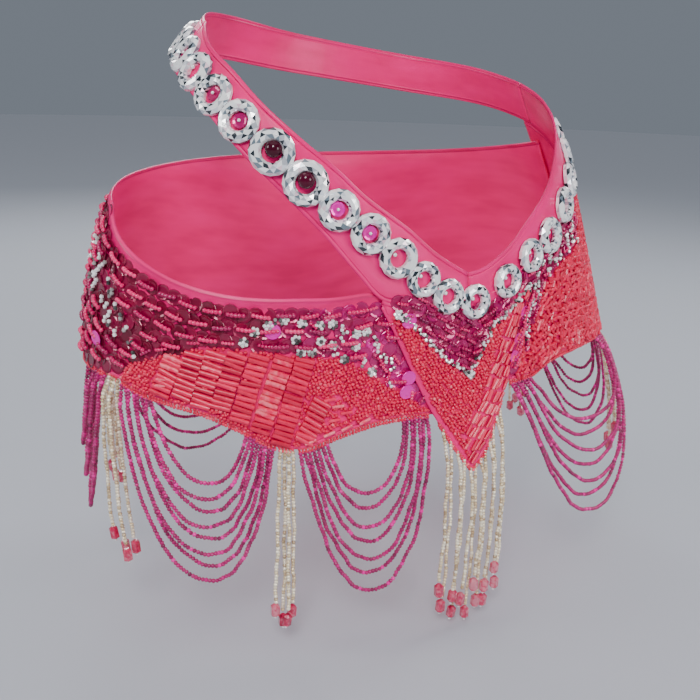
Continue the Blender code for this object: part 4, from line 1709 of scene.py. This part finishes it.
# A few bugles get a painted glint at full brightness.
tints[chance.random(len(rods)) < 0.05] = 1.0
bugles(left, SHORT_BUGLE, rods, BAND_FACE, tints, 1.5, 90, 1.1)
depths = -3.2 - 4.9 * np.arange(30)
fill = rows_under(hip_left_hem, LEFT_ENDS, depths, 3.1, coral_zone_left)
seeds(left, fill, BAND_FACE + 0.9, 0.2, 0.8)
print("bugles:", len(rods), "seeds:", len(fill))
finish_field("hip_left", left)

# %% [markdown]
# ## The back
# The photograph doesn't show the back, so it is finished plainly in the same beads: rows
# of sequins above, a silver line, and ladders of bugles below with seeds in their gaps.

# %% Zones of the back
BACK_ENDS = (95.5, 269.5)
LADDER_ENDS = (100, 262)
SEAM_FILLING_ENDS = (250, 271.5)
LADDER_STEP = 12.4
LADDER_LEAN = 1.6
BACK_HOLE_ROW = 3.6
BACK_HOLE_PITCH = 3.4

# angle, upper edge of the coral beads
CORAL_BACK = (
    (88, 14), (105, 17), (130, 20), (155, 14), (180, 6), (205, 14), (230, 20), (252, 12),
    (262, -4), (275, -40),
)


def coral_back(angle):
    return along(CORAL_BACK, 1, angle)


def sequin_zone_back(angle, height, room=5.0, hem_room=4.0):
    low = np.maximum(coral_back(angle) + room, hip_back_hem(angle) + hem_room)
    return (angle > BACK_ENDS[0]) & (height > low)


def hole_zone_back(angle, height):
    return sequin_zone_back(angle, height, 3.6, HOLE_HEM_ROOM)


def coral_zone_back(angle, height):
    inside = (angle > BACK_ENDS[0]) & (height < coral_back(angle))
    return inside & (height > hip_back_hem(angle) + 1.8)


def back_shade(angle):
    """Wine red at the sides and magenta towards the middle of the back."""
    return 0.18 + 0.42 * np.clip((62 - np.abs(angle - 182)) / 40, 0, 1)


def back_columns():
    """Ladders at even steps along the hem, leaning away from the middle."""
    columns = []
    for foot in evenly_along(hip_back_hem, *LADDER_ENDS, LADDER_STEP, 0.5):
        top_angle = foot + (LADDER_LEAN if foot > 180 else -LADDER_LEAN)
        top_height = float(coral_back(top_angle)) - 2.5
        foot_height = float(hip_back_hem(foot)) + 3.0
        columns.append((top_angle, top_height, foot, foot_height, 0.1))
    return columns


print("ladders at the back:", len(back_columns()))

# %% Sequins and silver of the back
behind = new_field()
depths = FIRST_ROW + SEQUIN_ROW * np.arange(12)
spots = rows_under(hip_back_top, BACK_ENDS, depths, LINK_PITCH, sequin_zone_back)
taken = sequin_rows(behind, spots, HIP_FACE, back_shade, LINK, PAIR_GAP)
depths = -3.8 - BACK_HOLE_ROW * np.arange(26)
holes = rows_under(coral_back, (BACK_ENDS[0], 262), depths, BACK_HOLE_PITCH, hole_zone_back)
holes = holes[holes[:, 1] < hip_back_top(holes[:, 0]) - 9]
taken = sequin_filling(behind, holes, taken, HIP_FACE, back_shade, 4.6)
depths = -3.0 - BACK_HOLE_ROW * np.arange(24)
holes = rows_under(hip_back_hem, SEAM_FILLING_ENDS, depths, BACK_HOLE_PITCH, hole_zone_back)
sequin_filling(behind, holes, taken, HIP_FACE, back_shade, HOLE_GAP)
angles = evenly_along(coral_back, BACK_ENDS[0], 258, 3.4, 0.5)
line = np.stack((angles, coral_back(angles) + 1.6, slope_at(coral_back, angles)), axis=1)
silver_pairs(behind, line, HIP_FACE + 0.6)
print("pairs of sequins:", len(spots))

# %% Coral beads of the back
ladders, tints = ladder_spots(back_columns(), LADDER_PITCH)
kept = coral_zone_back(ladders[:, 0], ladders[:, 1])
ladders = ladders[kept]
bugles(behind, LADDER_BUGLE, ladders, HIP_FACE + 0.3, tints[kept], *LADDER_SHAKE)
depths = -2.0 - 2.1 * np.arange(26)
fill = rows_under(hip_back_hem, BACK_ENDS, depths, 2.3, coral_zone_back)
fill = clear_of(fill, rod_spots(ladders, LADDER_LENGTH), 1.7)
seeds(behind, fill, HIP_FACE)
print("bugles in ladders:", len(ladders), "seeds:", len(fill))
finish_field("hip_back", behind)

# %% [markdown]
# ## Looped strands
# A strand of threaded beads hangs as a chain does, so its shape is the hyperbolic cosine
# that chains take. The beads are then set one by one along the strand. Each swag in the
# CAD is a tape with plain round strands, and these beads stand for it.

# %% Sizes and places of the swags
TAPE_DROP = 0.6
TAPE_HEIGHT = 3.0
STRAND_SPREAD = 12.0
HANG = 2.4
LOOP_STEPS = 60
LOOP_SWINGS = (4.2, 1.4)
BEAD_PITCH = 2.1
BEAD_SIZE = 1.42
WIGGLE = 0.55

# name, hem, first roots from, to, last roots from, to, loops, lowest, highest bottom, bow
SWAGS = (
    ("swag_front_right", "right", -69, -60, -33.6, -38.5, 8, -133, -71, 0),
    ("swag_front_middle", "right", -28.6, -23.5, -3.8, -8.4, 7, -145, -80, 0),
    ("swag_front_left", "left", 15.8, 21, 66, 56, 7, -135, -64, 18),
    ("swag_side_left", "back", 117, 112, 76, 83, 5, -118, -70, 8),
    ("swag_back_left", "back", 173, 167, 125, 131, 5, -122, -72, 0),
    ("swag_back_right", "back", 187, 193, 234, 228, 5, -122, -72, 0),
    ("swag_side_right", "back", 244, 249, 284, 278, 5, -112, -70, 0),
)
HEMS = {
    "right": (hip_right_hem, HIP_LAYER),
    "left": (hip_left_edge, BAND_LAYER),
    "back": (hip_back_hem, HIP_LAYER),
}


print("loops:", sum(row[6] for row in SWAGS))

# %% The way a strand hangs
def eased(drop, inner, outer):
    """The offset of a strand that leaves its hem and swings clear of it."""
    share = np.clip(drop / STRAND_SPREAD, 0.0, 1.0)
    return inner + (outer - inner) * share * share * (3 - 2 * share)


def loop_line(side, left, right, bottom, swing, bow):
    """Points of one looped strand between two roots on a hem, in metres."""
    hem, layer = HEMS[side]
    root = TAPE_DROP + TAPE_HEIGHT / 2
    left_height, right_height = float(hem(left)) - root, float(hem(right)) - root
    sag = (left_height + right_height) / 2 - bottom
    even = np.linspace(-1, 1, LOOP_STEPS + 1)
    by_length = np.arcsinh(even * math.sinh(HANG)) / HANG
    place = (even + by_length) / 2
    share = (place + 1) / 2
    lift = (np.cosh(HANG * place) - 1) / (math.cosh(HANG) - 1)
    height = left_height + (right_height - left_height) * share
    drop = sag * (1 - lift)
    offset = eased(drop, layer + CLOTH / 2, layer + swing) + bow * share ** 2 * drop / sag
    ripple = wiggle(even * sag) * np.minimum(drop / STRAND_SPREAD, 1.0)
    angle = left + (right - left) * share
    return on_figure(angle + ripple[0] / 3.0, height - drop + ripple[1], offset + ripple[2] * 0.4)


def wiggle(stations):
    """Small bends along a strand, as threaded beads never hang quite smooth."""
    waves = []
    for axis in range(3):
        phases = chance.uniform(0, 2 * np.pi, 2)
        short = np.sin(stations / 2.6 + phases[0])
        long = np.sin(stations / 6.5 + phases[1])
        waves.append(WIGGLE * (0.45 * short + 0.8 * long))
    return np.array(waves)


print("a strand bends by up to", round(WIGGLE * (0.45 + 0.8), 2), "mm each way")

# %% Thread beads on a line
def threaded(points, pitch, size, tints_of, start=0.5):
    """A batch of beads one pitch apart along a line of points."""
    lengths = lengths_along(points, MM)
    stations = np.arange(start * pitch, lengths[-1], pitch)

    def at(station):
        return np.stack([np.interp(station, lengths, points[:, axis]) for axis in range(3)], axis=1)

    places = at(stations)
    forward = unit(at(np.minimum(stations + 1.0, lengths[-1])) - at(np.maximum(stations - 1.0, 0.0)))
    forward = unit(forward + chance.normal(0, 0.06, forward.shape))
    side = unit(np.cross(forward, (0.31, 0.95, 0.02)))
    third = np.cross(forward, side)
    roll = chance.uniform(0, 2 * np.pi, len(stations))[:, None]
    second = side * np.cos(roll) + third * np.sin(roll)
    axes = np.stack((forward, second, np.cross(forward, second)), axis=1)
    sizes = size * chance.uniform(0.94, 1.05, len(stations))
    places = places + chance.normal(0, 0.07 * MM, places.shape)
    return STRUNG_SEED, places, axes * sizes[:, None, None], tints_of(len(stations))


def pale_tints(count):
    # Leaning to the light end, for more painted highlights.
    return chance.beta(1.0, 0.8, count)


def strand_tints(count):
    # Tints vary by chance round the middle, and a few beads are painted at full brightness as
    # glints.
    tints = chance.normal(0.48, 0.17, count)
    tints[chance.random(count) < 0.07] = 1.0
    return np.clip(tints, 0, 1)


print("beads on 100 mm of strand:", int(100 / BEAD_PITCH))

# %% Hang the swags
HEM_BATCHES = []
HEM_PITCH = 1.9
HEM_SIZE = 1.15
HEM_LIFT = 1.1
HEM_PAST_ROOTS = 0.4


def seeds_along(hem, layer, ends, drops, steps):
    """Coral seeds under a hem, over the tape that the strands are knotted to."""
    angles = np.linspace(*ends, steps)
    for drop in drops:
        points = on_figure(angles, hem(angles) - drop, layer + HEM_LIFT)
        HEM_BATCHES.append(threaded(points, HEM_PITCH, HEM_SIZE, strand_tints))


def hem_row(side, first, last):
    ends = min(first, last) - HEM_PAST_ROOTS, max(first, last) + HEM_PAST_ROOTS
    seeds_along(*HEMS[side], ends, (0.4, 2.3), 240)


def swag(row):
    name, side, left_from, left_to, right_from, right_to, loops, lowest, highest, bow = row
    hem_row(side, left_from, right_from)
    batches = []
    for number in range(loops):
        share = number / (loops - 1)
        left = left_from + (left_to - left_from) * share
        right = right_from + (right_to - right_from) * share
        bottom = lowest + (highest - lowest) * share
        line = loop_line(side, left, right, bottom, LOOP_SWINGS[number % 2], bow)
        batches.append(threaded(line, BEAD_PITCH, BEAD_SIZE, strand_tints))
    joined_piece(name + "_beads", batches, magenta_glass, sharp=180,
                 replaced=[name])


for row in SWAGS:
    swag(row)
print("rows of hem seeds:", len(HEM_BATCHES))

# %% [markdown]
# ## Tassels
# Silver lined beads hang straight and end in a pink crystal with one clear seed under it.
# The crystals are six-sided rods with cut ends, so each flat side gives its own flash.

# %% Sizes and places of the tassels
TASSEL_SWINGS = (5.5, 2.0)
CRYSTAL_LENGTH = 8.6
CRYSTAL_TIP = 1.5
PALE_PITCH = 2.0
PALE_SIZE = 1.35
STRAY = 0.6

# name, hem, first root, last root, first end, last end as angles, heights of the ends
TASSELS = (
    ("tassel_side_right", "right", -74.0, -70.6, -74.8, -68.6, (-119, -128, -131, -126)),
    ("tassel_front_middle", "right", -32.3, -29.9, -35.6, -32.0, (-158, -167, -165, -161)),
    ("tassel_side_left", "left", 68.5, 71.9, 69.0, 73.5, (-106, -122, -112, -118)),
    ("tassel_back_left", "back", 119, 123, 118.5, 123.5, (-108, -124, -114, -120)),
    ("tassel_back_middle", "back", 178, 182, 177, 183, (-124, -138, -128, -134)),
    ("tassel_back_right", "back", 237, 241, 236.5, 241.5, (-108, -124, -114, -120)),
)

# The front point's own tassel: root angle and end height of each strand
POINT_STRANDS = (
    (-1.3, -158), (-0.1, -172), (1.1, -164), (2.3, -178), (3.5, -168), (4.7, -181), (5.9, -160),
    (7.1, -175), (8.3, -163), (9.5, -176), (10.7, -152), (11.9, -166),
)
POINT_TAPE = (-2.0, 12.6)
POINT_TAPE_DROP = 1.2
POINT_LEAN = -2.6
POINT_SWINGS = (1.0, 4.6)


print("straight strands:", sum(len(row[6]) for row in TASSELS) + len(POINT_STRANDS))

# %% How a tassel hangs
class Tassel:
    """The pale beads, the crystals and the tips of one tassel."""

    def __init__(self, name):
        self.name = name
        self.beads, self.crystals, self.tips = [], [], []

    def hang(self, angle, height, turn_end, end, layer, swing):
        levels = np.linspace(height, end, 40)
        share = (height - levels) / (height - end)
        turns = angle + (turn_end - angle) * share
        offsets = eased(height - levels, layer + CLOTH / 2, layer + swing)
        ripple = wiggle(levels) * np.minimum((height - levels) / STRAND_SPREAD, 1.0)
        stray = chance.uniform(-STRAY, STRAY) * share
        line = on_figure(turns + stray + ripple[0] / 4.0, levels, offsets + ripple[1] * 0.4)
        crystal_top = end + CRYSTAL_TIP + CRYSTAL_LENGTH
        upper = line[levels > crystal_top]
        self.beads.append(threaded(upper, PALE_PITCH, PALE_SIZE, pale_tints, 0.1))
        middle = end + CRYSTAL_TIP + CRYSTAL_LENGTH / 2
        spot = np.array([np.interp(-middle, -levels, line[:, axis]) for axis in range(3)])
        down = unit(line[-1] - line[-8] + chance.normal(0, 0.0006, 3))
        side = unit(np.cross(down, (0.6, 0.8, 0.0)))
        axes = np.stack((down, side, np.cross(down, side)))
        size = chance.uniform(0.95, 1.05)
        self.crystals.append(one_batch(CRYSTAL, [spot], [axes], [chance.uniform(0.3, 0.9)], size))
        tip = spot + down * (CRYSTAL_LENGTH / 2 + 0.7) * MM
        self.tips.append(one_batch(SEED, [tip], [axes], [0.85], 0.95))

    def finish(self, replaced):
        joined_piece(self.name + "_beads", self.beads, pale_glass, sharp=180,
                     replaced=[replaced])
        joined_piece(self.name + "_crystals", self.crystals, crystal_glass)
        joined_piece(self.name + "_tips", self.tips, silver_glass, sharp=180)


print("crystals are", CRYSTAL_LENGTH, "mm long")

# %% Hang the tassels
for name, side, first, last, first_end, last_end, ends in TASSELS:
    hem, layer = HEMS[side]
    tassel = Tassel(name)
    hem_row(side, first, last)
    for number, end in enumerate(ends):
        share = number / (len(ends) - 1)
        root = first + (last - first) * share
        turn_end = first_end + (last_end - first_end) * share
        start = float(hem(root)) - TAPE_DROP - TAPE_HEIGHT / 2
        tassel.hang(root, start, turn_end, end, layer, TASSEL_SWINGS[number % 2])
    tassel.finish(name)

tassel = Tassel("tassel_front_point")
seeds_along(point_bottom, BAND_LAYER, POINT_TAPE, (0.5, 2.3), 300)
for number, (angle, end) in enumerate(POINT_STRANDS, start=1):
    start = float(point_bottom(angle)) - POINT_TAPE_DROP
    tassel.hang(angle, start, angle + POINT_LEAN, end, BAND_LAYER, POINT_SWINGS[number % 2])
tassel.finish("tassel_front_point")
joined_piece("hem_seeds", HEM_BATCHES, coral_glass, sharp=180)
print("joined pieces:", len(TRIANGLES))

# %% [markdown]
# ## Triangles
# The triangles of all joined pieces are added up and printed.

# %% Print the triangle count
print("triangles in joined pieces:", sum(TRIANGLES.values()))
